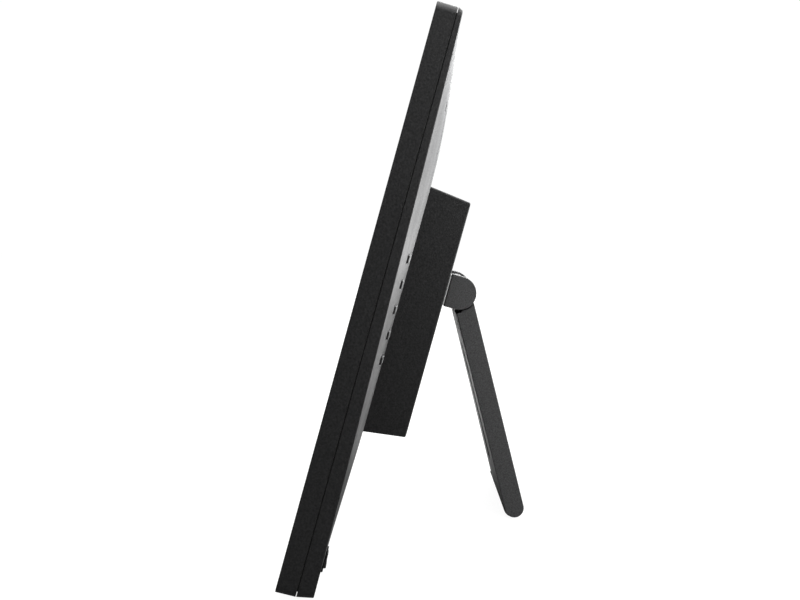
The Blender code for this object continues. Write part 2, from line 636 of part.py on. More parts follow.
def speaker(name, x, housing):
    """A small loudspeaker that faces down, behind slots in the housing's underside."""
    z = HOUSING_BOTTOM + HOUSING_DRAFT_Z + HOUSING_WALL + GAP
    half_x = SPEAKER_WIDTH / 2
    half_y = SPEAKER_DEPTH / 2
    y = HOUSING_BACK - HOUSING_WALL - SPEAKER_CLEARANCE - half_y
    body = block("speaker_" + name, (x - half_x, y - half_y, z), (x + half_x, y + half_y, z + SPEAKER_HEIGHT),
                 "connector", edges="z", radius=SPEAKER_DEPTH / 4)
    cut(body, rod(f"speaker_{name}_cone_cut", (x, y, z), "z", CONE_RADIUS, CONE_DEPTH))
    bottom = z - HOUSING_WALL - 2 * HOUSING_DRAFT_Z
    for index in range(GRILLE_SLOTS):
        slot_x = x + (index - (GRILLE_SLOTS - 1) / 2) * GRILLE_PITCH
        low = (slot_x - GRILLE_SLOT_WIDTH / 2, y - GRILLE_SLOT_LENGTH / 2, bottom)
        high = (slot_x + GRILLE_SLOT_WIDTH / 2, y + GRILLE_SLOT_LENGTH / 2, z - GAP / 2)
        cut(housing, block(f"grille_{name}_{index + 1}_cut", low, high))


# ---------------------------------------------------------------- buttons and switch
def side_buttons(cover):
    """Push buttons in a column near the right side edge, on one small board."""
    half_x = BUTTON_WIDTH / 2
    half_z = BUTTON_HEIGHT / 2
    foot_back = -COVER_WALL - GAP
    foot_front = foot_back - BUTTON_TRAVEL - BUTTON_FOOT_THICKNESS
    for index in range(BUTTON_COUNT):
        z = BUTTON_TOP_Z - index * BUTTON_PITCH
        name = f"button_{index + 1}"
        seat = make_empty(f"button_seat_{index + 1}", (BUTTON_X, back_depth(BUTTON_X, z), z), 0, lean)
        seat.rotation_euler = (0, 0, back_slope(BUTTON_X, z))
        cap = block(name, (-half_x, foot_front + BUTTON_FOOT_THICKNESS / 2, -half_z),
                    (half_x, BUTTON_PROUD, half_z), "button_plastic", seat, edges="all", radius=0.5 * MM,
                    segments=1)
        join(cap, block(name + "_foot_add", (-half_x - BUTTON_FOOT_X, foot_front, -half_z - BUTTON_FOOT_Z),
                        (half_x + BUTTON_FOOT_X, foot_back, half_z + BUTTON_FOOT_Z), parent=seat))
        cut(cover, block(name + "_hole_cut", (-half_x - BUTTON_ROOM, 2 * foot_front, -half_z - BUTTON_ROOM),
                         (half_x + BUTTON_ROOM, 2 * BUTTON_PROUD, half_z + BUTTON_ROOM), parent=seat))
    top = BUTTON_TOP_Z + BUTTON_BOARD_END
    bottom = BUTTON_TOP_Z - (BUTTON_COUNT - 1) * BUTTON_PITCH - BUTTON_BOARD_END
    board_back = back_depth(BUTTON_X, BUTTON_TOP_Z) + foot_front - BUTTON_TRAVEL - BUTTON_BOARD_GAP
    block("button_board", (BUTTON_X - BUTTON_BOARD_HALF, board_back - SMALL_BOARD_THICKNESS, bottom),
          (BUTTON_X + BUTTON_BOARD_HALF, board_back, top), "board")


def power_rocker(cover):
    """A rocker switch low on the back, near the right side edge."""
    seat = make_empty("rocker_seat", (ROCKER_X, back_depth(ROCKER_X, ROCKER_Z), ROCKER_Z), 0, lean)
    half_x = ROCKER_WIDTH / 2
    half_z = ROCKER_LENGTH / 2
    body_x = half_x + ROCKER_BODY_WALL
    body_z = half_z + ROCKER_BODY_WALL
    frame = block("rocker_frame", (-body_x, -ROCKER_BODY_DEPTH, -body_z),
                  (body_x, (ROCKER_RIM_BASE + ROCKER_RIM_TOP) / 2, body_z), "connector", seat)
    rim = block("rocker_rim_add", (-half_x - ROCKER_RIM, ROCKER_RIM_BASE, -half_z - ROCKER_RIM),
                (half_x + ROCKER_RIM, ROCKER_RIM_TOP, half_z + ROCKER_RIM), parent=seat, edges="y",
                radius=ROCKER_RIM)
    join(frame, rim)
    cut(frame, block("rocker_well_cut", (-half_x, ROCKER_FLOOR - ROCKER_BODY_DEPTH, -half_z),
                     (half_x, 2 * ROCKER_RIM_TOP, half_z), parent=seat))
    cut(cover, block("rocker_hole_cut", (-body_x - GAP, -ROCKER_BODY_DEPTH, -body_z - GAP),
                     (body_x + GAP, 2 * ROCKER_RIM_TOP, body_z + GAP), parent=seat))
    pivot = make_empty("rocker_axis", (0, -ROCKER_PIVOT_DEPTH, 0), ROCKER_ANGLE, seat)
    reach = half_z - ROCKER_END_ROOM
    skirt = -ROCKER_PIVOT_DEPTH / 4
    keel = -ROCKER_PIVOT_DEPTH * 1.1
    dip = ROCKER_CREST - reach * math.tan(ROCKER_ANGLE)
    outline = [(keel, -ROCKER_PIVOT_DEPTH), (skirt, -reach), (ROCKER_CREST, -reach), (dip, 0),
               (ROCKER_CREST, reach), (skirt, reach), (keel, ROCKER_PIVOT_DEPTH)]
    prism("power_rocker", outline, -half_x + GAP, half_x - GAP, "connector", pivot)


# ---------------------------------------------------------------- hinge
def hinge(housing):
    """Two ears on a narrow plate, screwed on from inside the housing; a pin and two friction washers."""
    axis = Vector((0, AXIS_DEPTH, AXIS_Z))
    flat = HOUSING_BACK + EAR_STANDOFF
    plate_half = EAR_SPAN / 2 - PLATE_INSET
    plate_z = KNUCKLE_RADIUS - PLATE_EDGE
    plate = block("hinge_plate", (-plate_half, HOUSING_BACK + GAP, AXIS_Z - plate_z),
                  (plate_half, flat - GAP, AXIS_Z + plate_z), "steel")
    cut(plate, block("plate_window_cut", (-EAR_INNER, 0, AXIS_Z - PLATE_WINDOW),
                     (EAR_INNER, AXIS_DEPTH, AXIS_Z + PLATE_WINDOW)))
    outline = ([(flat, AXIS_Z - KNUCKLE_RADIUS)]
               + arc((AXIS_DEPTH, AXIS_Z), KNUCKLE_RADIUS, -math.pi / 2, math.pi / 2, 14)
               + [(flat, AXIS_Z + KNUCKLE_RADIUS)])
    pin_half = EAR_SPAN / 2 - PIN_END_WALL
    head_top = HOUSING_BACK - HOUSING_WALL - SCREW_HEAD - GAP
    screw_length = flat - head_top + HINGE_SCREW_BITE
    hole_low = head_top + SCREW_HEAD
    hole_high = head_top + screw_length + GAP
    for side, name in ((-1, "left"), (1, "right")):
        xs = sorted((side * EAR_INNER, side * EAR_SPAN / 2))
        ear = prism("hinge_ear_" + name, outline, xs[0], xs[1], "leg_plastic")
        bore_start = EAR_INNER - WASHER_WIDTH
        bore_end = pin_half + GAP
        cut(ear, rod(f"ear_bore_{name}_cut", (side * (bore_start + bore_end) / 2, axis.y, axis.z), "x",
                     BORE_RADIUS, bore_end - bore_start))
        washer_x = side * (EAR_INNER - GAP - WASHER_WIDTH / 2)
        washer = rod("friction_washer_" + name, (washer_x, axis.y, axis.z), "x", BARREL_RADIUS, WASHER_WIDTH,
                     "steel", segments=24)
        cut(washer, rod(f"washer_bore_{name}_cut", (washer_x, axis.y, axis.z), "x", BORE_RADIUS,
                        2 * WASHER_WIDTH))
        for index, up in enumerate((-HINGE_SCREW_Z, HINGE_SCREW_Z)):
            place = (side * (EAR_INNER + HINGE_SCREW_X), head_top, AXIS_Z + up)
            screw(f"hinge_screw_{name}_{index + 1}", place, screw_length, 1, "steel")
            hole = rod(f"hinge_hole_{name}_{index + 1}_cut", (place[0], (hole_low + hole_high) / 2, place[2]),
                       "y", SCREW_RADIUS + GAP, hole_high - hole_low, segments=12)
            cut(housing, hole)
            cut(plate, hole)
            cut(ear, hole)
    rod("hinge_pin", axis, "x", PIN_RADIUS, 2 * pin_half, "steel")


# ---------------------------------------------------------------- leg, drawn hanging straight down
def leg_half_width(z):
    return LEG_HALF_TOP + (LEG_HALF_FOOT - LEG_HALF_TOP) * min(max(-z / LEG_REACH, 0), 1.1)


def flare(obj):
    """Widen a piece drawn one unit wide to the leg's own width."""
    for vert in obj.data.vertices:
        vert.co.x *= leg_half_width(vert.co.z)


def knuckle_and_leg():
    """The leg, its barrel-and-tongue knuckle, the two screws between them and the rubber foot strip."""
    barrel_half = EAR_INNER - WASHER_WIDTH - 2 * GAP
    tongue_half = barrel_half - TONGUE_INSET
    tongue_y = TONGUE_THICKNESS / 2
    barrel = rod("leg_knuckle", (0, 0, 0), "x", BARREL_RADIUS, 2 * barrel_half, "leg_plastic", leg_axis, 28)
    join(barrel, block("knuckle_tongue_add", (-tongue_half, LEG_OFFSET - tongue_y, -TONGUE_END),
                       (tongue_half, LEG_OFFSET + tongue_y, -TONGUE_ROOT), parent=leg_axis))
    cut(barrel, rod("knuckle_bore_cut", (0, 0, 0), "x", BORE_RADIUS, EAR_SPAN, parent=leg_axis))

    leg = leg_paddle()
    leg_hinge_cuts(leg)
    slot = block("leg_slot_cut", (-tongue_half - GAP, LEG_OFFSET - tongue_y - GAP, -TONGUE_END - GAP),
                 (tongue_half + GAP, LEG_OFFSET + tongue_y + GAP, 0), parent=leg_axis)
    groove = pad_ring("leg_groove_cut", PAD_RADIUS - PAD_THICK - GAP, PAD_RADIUS + PAD_THICK,
                      GAP / PAD_RADIUS, LEG_HALF_FOOT - PAD_END_INSET + GAP)
    cut(leg, slot, pocket_cutter(), groove)
    for index, x in enumerate((-LEG_SCREW_X, LEG_SCREW_X)):
        place = (x, LEG_FRONT + LEG_SCREW_SINK, -LEG_SCREW_DROP)
        screw(f"leg_screw_{index + 1}", place, LEG_SCREW_LENGTH, 1, "black_screw", leg_axis)
        head, shank = screw_hole(f"leg_hole_{index + 1}_cut", place, LEG_SCREW_LENGTH, 1, leg_axis)
        cut(leg, head, shank)
        cut(barrel, shank)
    pad_ring("leg_foot_pad", PAD_RADIUS - PAD_THICK, PAD_RADIUS, 0, LEG_HALF_FOOT - PAD_END_INSET, "rubber")


def leg_paddle():
    """The leg before it is cut: a side outline with a round foot, widening downwards."""
    top = -KNUCKLE_RADIUS * 0.35
    foot = arc((LEG_OFFSET, -LEG_REACH), LEG_THICK_FOOT / 2, math.pi, 2 * math.pi, 10)
    outline = [(LEG_FRONT, top)] + foot + [(LEG_FRONT + LEG_THICK_TOP, top)]
    leg = prism("leg", outline, -1, 1, "leg_plastic", leg_axis)
    flare(leg)
    return leg


def leg_hinge_cuts(leg):
    """Clear the leg's top round the barrel, the ears and the washers."""
    barrel_room = BARREL_RADIUS + 2 * GAP
    cut(leg, rod("leg_barrel_cut", (0, 0, 0), "x", barrel_room, EAR_SPAN, parent=leg_axis, segments=36))
    near = EAR_INNER - WASHER_WIDTH
    for side in (-1, 1):
        middle = side * (near + EAR_SPAN) / 2
        xs = sorted((side * near, side * EAR_SPAN))
        cut(leg, rod("leg_ear_cut", (middle, 0, 0), "x", KNUCKLE_RADIUS + LEG_HINGE_GAP, EAR_SPAN - near,
                     parent=leg_axis, segments=36))
        cut(leg, block("leg_shoulder_cut", (xs[0], -2 * LEG_THICK_TOP, -KNUCKLE_RADIUS - LEG_SHOULDER_DROP),
                       (xs[1], -LEG_SHOULDER_DEPTH, 0), parent=leg_axis))


def pocket_cutter():
    """The coring pocket in the leg's front face, wider towards the foot."""
    back = LEG_FRONT + POCKET_DEPTH
    ahead = LEG_FRONT - POCKET_DEPTH
    pocket = prism("leg_pocket_cut", [(ahead, -POCKET_START), (ahead, -POCKET_END), (back, -POCKET_END),
                                      (back, -POCKET_START)], -1, 1, parent=leg_axis)
    for vert in pocket.data.vertices:
        share = (-vert.co.z - POCKET_START) / (POCKET_END - POCKET_START)
        vert.co.x *= POCKET_HALF_TOP + (POCKET_HALF_FOOT - POCKET_HALF_TOP) * share
    return pocket


def pad_ring(name, inner, outer, widen, half_length, material=None):
    """Part of a ring round the foot's middle, drawn out along x."""
    centre = (LEG_OFFSET, -LEG_REACH)
    outside = arc(centre, outer, PAD_START - widen, PAD_END + widen, 10)
    inside = arc(centre, inner, PAD_END + widen, PAD_START - widen, 10)
    return prism(name, outside + inside, -half_length, half_length, material, leg_axis)


# ---------------------------------------------------------------- feet and screws
def table_height(y):
    """Height up the frame at which the table passes, at a depth."""
    return (y * math.sin(LEAN) - GROUND_CLEARANCE) / math.cos(LEAN)


def frame_feet():
    """Rubber feet under the frame, ground flat to the table."""
    outline = [(FOOT_FRONT, table_height(FOOT_FRONT)), (FOOT_BACK, table_height(FOOT_BACK)),
               (FOOT_BACK, -GAP), (FOOT_FRONT, -GAP)]
    outer = HALF_WIDTH - FOOT_INSET
    for side, name in ((-1, "left"), (1, "right")):
        xs = sorted((side * (outer - FOOT_LENGTH), side * outer))
        prism("frame_foot_" + name, outline, xs[0], xs[1], "rubber")


def corners_of(half_x, low_z, high_z):
    """The four corners of a screw pattern, numbered from the lower left."""
    return enumerate(((-half_x, low_z), (half_x, low_z), (-half_x, high_z), (half_x, high_z)), 1)


def cover_screws(cover, housing):
    """Four screws sunk in the housing's back and four in the rear cover."""
    for number, (x, z) in corners_of(HALF_HOUSING - HOUSING_SCREW_INSET,
                                     HOUSING_BOTTOM + HOUSING_SCREW_INSET_Z,
                                     HOUSING_TOP - HOUSING_SCREW_INSET_Z):
        place = (x, HOUSING_BACK - HOUSING_SCREW_SINK, z)
        screw(f"housing_screw_{number}", place, HOUSING_SCREW_LENGTH, -1)
        cut(housing, *screw_hole(f"housing_hole_{number}_cut", place, HOUSING_SCREW_LENGTH, -1))
    for number, (x, z) in corners_of(HALF_WIDTH - COVER_SCREW_INSET_X, COVER_SCREW_INSET_Z,
                                     HEIGHT - COVER_SCREW_INSET_Z):
        place = (x, back_depth(x, z) - COVER_SCREW_SINK, z)
        screw(f"cover_screw_{number}", place, COVER_SCREW_LENGTH, -1)
        cut(cover, rod(f"cover_hole_{number}_cut", (x, place[1] - COVER_WALL, z), "y",
                       SCREW_HEAD_RADIUS + GAP, 2 * COVER_SCREW_LENGTH, segments=16))


def ribbon_cables():
    """Flat cables from the main board to the screen and to the buttons."""
    front = PANEL_BACK + CABLE_CLEARANCE
    back = front + CABLE_THICKNESS
    bottom = MIDDLE_Z - SCREEN_CABLE_DROP
    block("screen_cable", (-SCREEN_CABLE_WIDTH / 2, front, bottom),
          (SCREEN_CABLE_WIDTH / 2, back, bottom + SCREEN_CABLE_LENGTH), "cable")
    block("button_cable", (HALF_HOUSING + BUTTON_CABLE_START, front, MIDDLE_Z - BUTTON_CABLE_WIDTH / 2),
          (BUTTON_X - BUTTON_BOARD_HALF - BUTTON_CABLE_END, back, MIDDLE_Z + BUTTON_CABLE_WIDTH / 2), "cable")


clear_scene()
parts = bpy.data.collections.new("digital_photo_frame")
cutters = bpy.data.collections.new("cutters")
bpy.context.scene.collection.children.link(parts)
bpy.context.scene.collection.children.link(cutters)
materials = {name: make_material(name) for name in COLOURS}
lean = make_empty("lean", PLACE, -LEAN)
leg_axis = make_empty("leg_axis", (0, AXIS_DEPTH, AXIS_Z), LEG_ANGLE, lean)

front_bezel()
screen_panel()
rear = rear_cover()
box = housing_cover()
electronics(box)
side_buttons(rear)
power_rocker(rear)
hinge(box)
knuckle_and_leg()
frame_feet()
cover_screws(rear, box)
ribbon_cables()
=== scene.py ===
"""Digital photo frame, standing on its folding leg: the moulded plastic, rubber, metal and screen.

Every piece is drawn upright, in the frame's own directions (x across, y from the screen to the back,
z up the front), or hanging straight down from the hinge axis if it belongs to the leg, and is then
tipped into place. The sizes that meet other pieces are measured from the frame.
"""
import json
import math

import bmesh
import bpy
from mathutils import Matrix, Vector


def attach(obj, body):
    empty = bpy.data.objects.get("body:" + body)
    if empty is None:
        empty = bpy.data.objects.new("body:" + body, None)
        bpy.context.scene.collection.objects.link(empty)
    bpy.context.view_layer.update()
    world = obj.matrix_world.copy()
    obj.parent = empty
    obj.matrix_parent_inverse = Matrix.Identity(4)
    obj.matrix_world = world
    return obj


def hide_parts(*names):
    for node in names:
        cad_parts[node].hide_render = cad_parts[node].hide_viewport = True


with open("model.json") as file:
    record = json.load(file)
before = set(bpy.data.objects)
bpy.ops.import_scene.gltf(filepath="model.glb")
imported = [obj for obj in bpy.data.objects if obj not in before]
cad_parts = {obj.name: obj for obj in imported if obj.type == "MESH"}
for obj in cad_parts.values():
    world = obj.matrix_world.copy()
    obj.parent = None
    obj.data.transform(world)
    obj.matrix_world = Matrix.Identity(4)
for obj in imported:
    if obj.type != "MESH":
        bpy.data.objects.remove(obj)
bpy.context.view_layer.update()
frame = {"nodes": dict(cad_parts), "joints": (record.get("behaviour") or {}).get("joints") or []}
MM = 0.001

# ------------------------------------------------------------------ studio
# A pale floor that runs up into a pale backdrop, a broad soft light overhead and behind, and a dim
# room on the near side. The camera stands level with the middle of the side wall.
bpy.context.scene.view_settings.view_transform = "Standard"

room = bpy.data.worlds.new("studio")
room.use_nodes = True
bpy.context.scene.world = room
room_nodes = room.node_tree.nodes
room_links = room.node_tree.links
background = room_nodes["Background"]
seen = room_nodes.new("ShaderNodeBackground")
seen.inputs["Color"].default_value = (1, 1, 1, 1)
seen.inputs["Strength"].default_value = 1.02
background.inputs["Color"].default_value = (0.97, 0.985, 1, 1)
way = room_nodes.new("ShaderNodeTexCoord")
split = room_nodes.new("ShaderNodeSeparateXYZ")
room_links.new(way.outputs["Generated"], split.inputs["Vector"])
beyond = room_nodes.new("ShaderNodeMapRange")
beyond.interpolation_type = "SMOOTHSTEP"
beyond.inputs["From Min"].default_value = -0.35
beyond.inputs["From Max"].default_value = -0.95
beyond.inputs["To Min"].default_value = 0.1
beyond.inputs["To Max"].default_value = 1.25
room_links.new(split.outputs["X"], beyond.inputs["Value"])
room_links.new(beyond.outputs["Result"], background.inputs["Strength"])
ray = room_nodes.new("ShaderNodeLightPath")
either = room_nodes.new("ShaderNodeMixShader")
room_links.new(ray.outputs["Is Camera Ray"], either.inputs["Fac"])
room_links.new(background.outputs["Background"], either.inputs[1])
room_links.new(seen.outputs["Background"], either.inputs[2])
room_links.new(either.outputs["Shader"], room_nodes["World Output"].inputs["Surface"])

floor_paint = bpy.data.materials.new("studio_floor")
floor_paint.use_nodes = True
floor_shader = floor_paint.node_tree.nodes["Principled BSDF"]
floor_shader.inputs["Base Color"].default_value = (0.16, 0.16, 0.16, 1)
floor_shader.inputs["Roughness"].default_value = 0.9
floor_shader.inputs["Specular IOR Level"].default_value = 0.1
floor_shader.inputs["Emission Color"].default_value = (1, 1, 1, 1)
floor_nodes = floor_paint.node_tree.nodes
floor_ray = floor_nodes.new("ShaderNodeLightPath")
floor_links = floor_paint.node_tree.links
floor_place = floor_nodes.new("ShaderNodeTexCoord")
floor_split = floor_nodes.new("ShaderNodeSeparateXYZ")
floor_links.new(floor_place.outputs["Object"], floor_split.inputs["Vector"])
floor_glow = floor_nodes.new("ShaderNodeMapRange")
floor_glow.interpolation_type = "SMOOTHSTEP"
floor_glow.inputs["From Min"].default_value = 0.0
floor_glow.inputs["From Max"].default_value = -0.4
floor_glow.inputs["To Min"].default_value = 0.12
floor_glow.inputs["To Max"].default_value = 3.6
beside = floor_nodes.new("ShaderNodeMath")
beside.operation = "MULTIPLY_ADD"
beside.inputs[1].default_value = -1
beside.inputs[2].default_value = 0.35
floor_links.new(floor_split.outputs["Y"], beside.inputs[0])
nearest = floor_nodes.new("ShaderNodeMath")
nearest.operation = "MINIMUM"
floor_links.new(floor_split.outputs["X"], nearest.inputs[0])
floor_links.new(beside.outputs[0], nearest.inputs[1])
floor_links.new(nearest.outputs[0], floor_glow.inputs["Value"])
floor_white = floor_nodes.new("ShaderNodeMix")
floor_white.inputs["B"].default_value = 0.95
floor_links.new(floor_ray.outputs["Is Camera Ray"], floor_white.inputs["Factor"])
floor_links.new(floor_glow.outputs["Result"], floor_white.inputs["A"])
floor_links.new(floor_white.outputs["Result"], floor_shader.inputs["Emission Strength"])

floor_cut = bmesh.new()
bmesh.ops.create_grid(floor_cut, x_segments=2, y_segments=2, size=6)
floor_mesh = bpy.data.meshes.new("floor")
floor_cut.to_mesh(floor_mesh)
floor_cut.free()
floor = bpy.data.objects.new("floor", floor_mesh)
floor_mesh.materials.append(floor_paint)
bpy.context.scene.collection.objects.link(floor)


def softbox(name, place, towards, width, height, power):
    """A rectangular soft light that doesn't show itself to the camera."""
    light = bpy.data.lights.new(name, "AREA")
    light.shape = "RECTANGLE"
    light.size = width
    light.size_y = height
    light.energy = power
    lamp = bpy.data.objects.new(name, light)
    lamp.location = place
    lamp.rotation_euler = (Vector(towards) - Vector(place)).to_track_quat("-Z", "Y").to_euler()
    lamp.visible_camera = False
    bpy.context.scene.collection.objects.link(lamp)


softbox("backdrop_light", (-2.2, 0.9, 1.3), (0, 0, 0.25), 3.2, 1.8, 105)
softbox("overhead_light", (0.15, 0.25, 1.15), (0.05, 0, 0.2), 1.1, 1.1, 19)
softbox("key_light", (0.78, 0.15, 0.78), (0.24, 0, 0.28), 0.5, 0.5, 2.6)
softbox("rear_light", (0.5, 2.6, 1.2), (0, 0, 0.25), 1.6, 1.2, 22)
softbox("front_fill", (0.5, -2.4, 1.3), (0, 0, 0.15), 2.0, 1.4, 10)

CAMERA_PLACE = (0.8516, -0.0088, 0.1925)
CAMERA_DOWN = math.radians(3.65)
lens = bpy.data.cameras.new("camera")
lens.lens = 55.47
lens.clip_start = 0.01
camera = bpy.data.objects.new("camera", lens)
camera.location = CAMERA_PLACE
camera.rotation_euler = (math.pi / 2 - CAMERA_DOWN, 0, math.pi / 2)
bpy.context.scene.collection.objects.link(camera)
bpy.context.scene.camera = camera

# ------------------------------------------------------------------ plastics
# All the mouldings are black ABS with a fine spark-eroded grain. The bezel and back are the darkest;
# the leg and hinge are a shade lighter.


def moulded_grain():
    """Group: a fine pitted grain and slow blotches. Puts out a shade mask, a gloss mask and a height."""
    group = bpy.data.node_groups.new("moulded grain", "ShaderNodeTree")
    for name, value in (("Grain Size", 0.5), ("Blotch Size", 40.0)):
        socket = group.interface.new_socket(name, in_out="INPUT", socket_type="NodeSocketFloat")
        socket.default_value = value
    for name in ("Shade", "Gloss", "Height"):
        group.interface.new_socket(name, in_out="OUTPUT", socket_type="NodeSocketFloat")
    nodes = group.nodes
    links = group.links
    given = nodes.new("NodeGroupInput")
    result = nodes.new("NodeGroupOutput")
    where = nodes.new("ShaderNodeTexCoord")

    def per_metre(millimetres):
        divide = nodes.new("ShaderNodeMath")
        divide.operation = "DIVIDE"
        divide.inputs[0].default_value = 1000
        links.new(millimetres, divide.inputs[1])
        return divide.outputs[0]

    pits = nodes.new("ShaderNodeTexNoise")
    pits.inputs["Detail"].default_value = 3
    pits.inputs["Roughness"].default_value = 0.65
    links.new(where.outputs["Object"], pits.inputs["Vector"])
    links.new(per_metre(given.outputs["Grain Size"]), pits.inputs["Scale"])
    cells = nodes.new("ShaderNodeTexVoronoi")
    cells.feature = "SMOOTH_F1"
    links.new(where.outputs["Object"], cells.inputs["Vector"])
    links.new(per_metre(given.outputs["Grain Size"]), cells.inputs["Scale"])
    blotch = nodes.new("ShaderNodeTexNoise")
    blotch.inputs["Detail"].default_value = 4
    blotch.inputs["Roughness"].default_value = 0.6
    links.new(where.outputs["Object"], blotch.inputs["Vector"])
    links.new(per_metre(given.outputs["Blotch Size"]), blotch.inputs["Scale"])

    mix = nodes.new("ShaderNodeMath")
    mix.operation = "MULTIPLY_ADD"
    mix.inputs[1].default_value = 0.6
    links.new(cells.outputs["Distance"], mix.inputs[0])
    links.new(pits.outputs["Fac"], mix.inputs[2])
    links.new(mix.outputs[0], result.inputs["Height"])
    for noise, output in ((pits, "Shade"), (blotch, "Gloss")):
        mask = nodes.new("ShaderNodeMapRange")
        mask.inputs["From Min"].default_value = 0.3
        mask.inputs["From Max"].default_value = 0.7
        links.new(noise.outputs["Fac"], mask.inputs["Value"])
        links.new(mask.outputs["Result"], result.inputs[output])
    return group


GRAIN = moulded_grain()


def grained(name, dark, light, rough, grain=0.5, depth=0.03, gloss=0.35, spread=0.06):
    """A grained plastic between two tones. depth is the grain's in millimetres; spread varies the gloss."""
    material = bpy.data.materials.new(name)
    material.use_nodes = True
    nodes = material.node_tree.nodes
    links = material.node_tree.links
    shader = nodes["Principled BSDF"]
    shader.inputs["Specular IOR Level"].default_value = gloss
    skin = nodes.new("ShaderNodeGroup")
    skin.node_tree = GRAIN
    skin.inputs["Grain Size"].default_value = grain
    skin.inputs["Blotch Size"].default_value = 40
    tone = nodes.new("ShaderNodeMix")
    tone.data_type = "RGBA"
    tone.inputs["A"].default_value = (*dark, 1)
    tone.inputs["B"].default_value = (*light, 1)
    links.new(skin.outputs["Shade"], tone.inputs["Factor"])
    links.new(tone.outputs["Result"], shader.inputs["Base Color"])
    dull = nodes.new("ShaderNodeMapRange")
    dull.inputs["To Min"].default_value = rough - spread
    dull.inputs["To Max"].default_value = rough + spread
    links.new(skin.outputs["Gloss"], dull.inputs["Value"])
    links.new(dull.outputs["Result"], shader.inputs["Roughness"])
    bump = nodes.new("ShaderNodeBump")
    bump.inputs["Strength"].default_value = 0.6
    bump.inputs["Distance"].default_value = depth * MM
    links.new(skin.outputs["Height"], bump.inputs["Height"])
    links.new(bump.outputs["Normal"], shader.inputs["Normal"])
    return material


case_plastic = grained("case plastic", (0.0008, 0.0008, 0.0009), (0.0175, 0.0175, 0.018), 0.5,
                       grain=1.1, depth=0.12)
housing_plastic = grained("housing plastic", (0.001, 0.001, 0.0011), (0.019, 0.019, 0.0195), 0.52,
                          grain=1.1, depth=0.12)
leg_plastic = grained("leg plastic", (0.036, 0.036, 0.0365), (0.086, 0.086, 0.087), 0.58,
                      grain=0.8, depth=0.08, gloss=0.25)
hinge_plastic = grained("hinge plastic", (0.042, 0.042, 0.0425), (0.1, 0.1, 0.1012), 0.58,
                        grain=0.8, depth=0.08, gloss=0.25)

# ------------------------------------------------------------------ placing
# The screen's glass is dead flat, so its broadest face tells how far the whole frame leans back. The
# bezel's lower front edge is where the upright drawing starts.


def spots(node):
    """The corners of a node where it stands."""
    return [vert.co for vert in frame["nodes"][node].data.vertices]


glass_face = max(frame["nodes"]["lcd_glass"].data.polygons, key=lambda face: face.area)
LEAN = math.atan2(abs(glass_face.normal.z), abs(glass_face.normal.y))
untipped = [Matrix.Rotation(LEAN, 3, "X") @ spot for spot in spots("front_bezel")]
start = Vector((0, min(spot.y for spot in untipped), min(spot.z for spot in untipped)))
TIPPED = Matrix.Rotation(-LEAN, 4, "X") @ Matrix.Translation(start)


def joint(name):
    """A joint of the frame by its name."""
    return next(found for found in frame["joints"] if found["name"] == name)


LEG_OPEN = math.radians(-joint("leg_fold")["range_deg"][0])
HANGING = Matrix.Translation(joint("leg_fold")["pos_m"]) @ Matrix.Rotation(LEG_OPEN - LEAN, 4, "X")


def drawn(node, drawing=TIPPED):
    """Lowest and highest corner of a node, in the directions of its drawing."""
    back = drawing.inverted()
    put = [back @ spot for spot in spots(node)]
    low = Vector([min(spot[way] for spot in put) for way in range(3)])
    high = Vector([max(spot[way] for spot in put) for way in range(3)])
    return low, high


def place(name, bm, material, drawing=TIPPED, smooth=30):
    """Turn a drawing into a piece where it stands, shaded smooth but for its sharp corners."""
    bmesh.ops.transform(bm, matrix=drawing, verts=bm.verts)
    bmesh.ops.recalc_face_normals(bm, faces=bm.faces)
    if bm.calc_volume(signed=True) < 0:
        bmesh.ops.reverse_faces(bm, faces=bm.faces)
    mesh = bpy.data.meshes.new(name)
    bm.to_mesh(mesh)
    bm.free()
    mesh.shade_smooth()
    mesh.set_sharp_from_angle(angle=math.radians(smooth))
    piece = bpy.data.objects.new(name, mesh)
    bpy.context.scene.collection.objects.link(piece)
    if material:
        mesh.materials.append(material)
    return piece


def carve(piece, cutters, drawing=TIPPED, smooth=30, operation="DIFFERENCE"):
    """Cut drawn shapes out of a piece, or join them to it, and keep the result as its mesh."""
    for index, cutter in enumerate(cutters):
        tool = place(f"{piece.name}_tool_{index}", cutter, None, drawing)
        step = piece.modifiers.new("step", "BOOLEAN")
        step.operation = operation
        step.solver = "EXACT"
        step.object = tool
    bpy.context.view_layer.update()
    graph = bpy.context.evaluated_depsgraph_get()
    solid = bpy.data.meshes.new_from_object(piece.evaluated_get(graph))
    for step in list(piece.modifiers):
        bpy.data.objects.remove(step.object)
    piece.modifiers.clear()
    piece.data = solid
    solid.shade_smooth()
    solid.set_sharp_from_angle(angle=math.radians(smooth))


def belongs(piece, body, slot, *nodes):
    """Ride on a body in place of some nodes; the slot argument is not used. The broad faces keep their
    own flat shading, so that only the rounded edges turn."""
    weigh = piece.modifiers.new("even light", "WEIGHTED_NORMAL")
    weigh.keep_sharp = True
    weigh.weight = 80
    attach(piece, body)
    if nodes:
        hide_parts(*nodes)


def slab(low, high, radius=0, edges="xyz", segments=3):
    """A box between two corners, with the edges that run along the given axes rounded."""
    bm = bmesh.new()
    bmesh.ops.create_cube(bm, size=1)
    low = Vector(low)
    high = Vector(high)
    bmesh.ops.scale(bm, vec=high - low, verts=bm.verts)
    bmesh.ops.translate(bm, vec=(low + high) / 2, verts=bm.verts)
    if radius:
        chosen = [edge for edge in bm.edges if along(edge) in edges]
        bmesh.ops.bevel(bm, geom=chosen, offset=radius, segments=segments, profile=0.5, affect="EDGES",
                        material=-1)
    return bm


def along(edge):
    """The axis that an edge runs nearest to."""
    way = edge.verts[1].co - edge.verts[0].co
    return "xyz"[max(range(3), key=lambda axis: abs(way[axis]))]


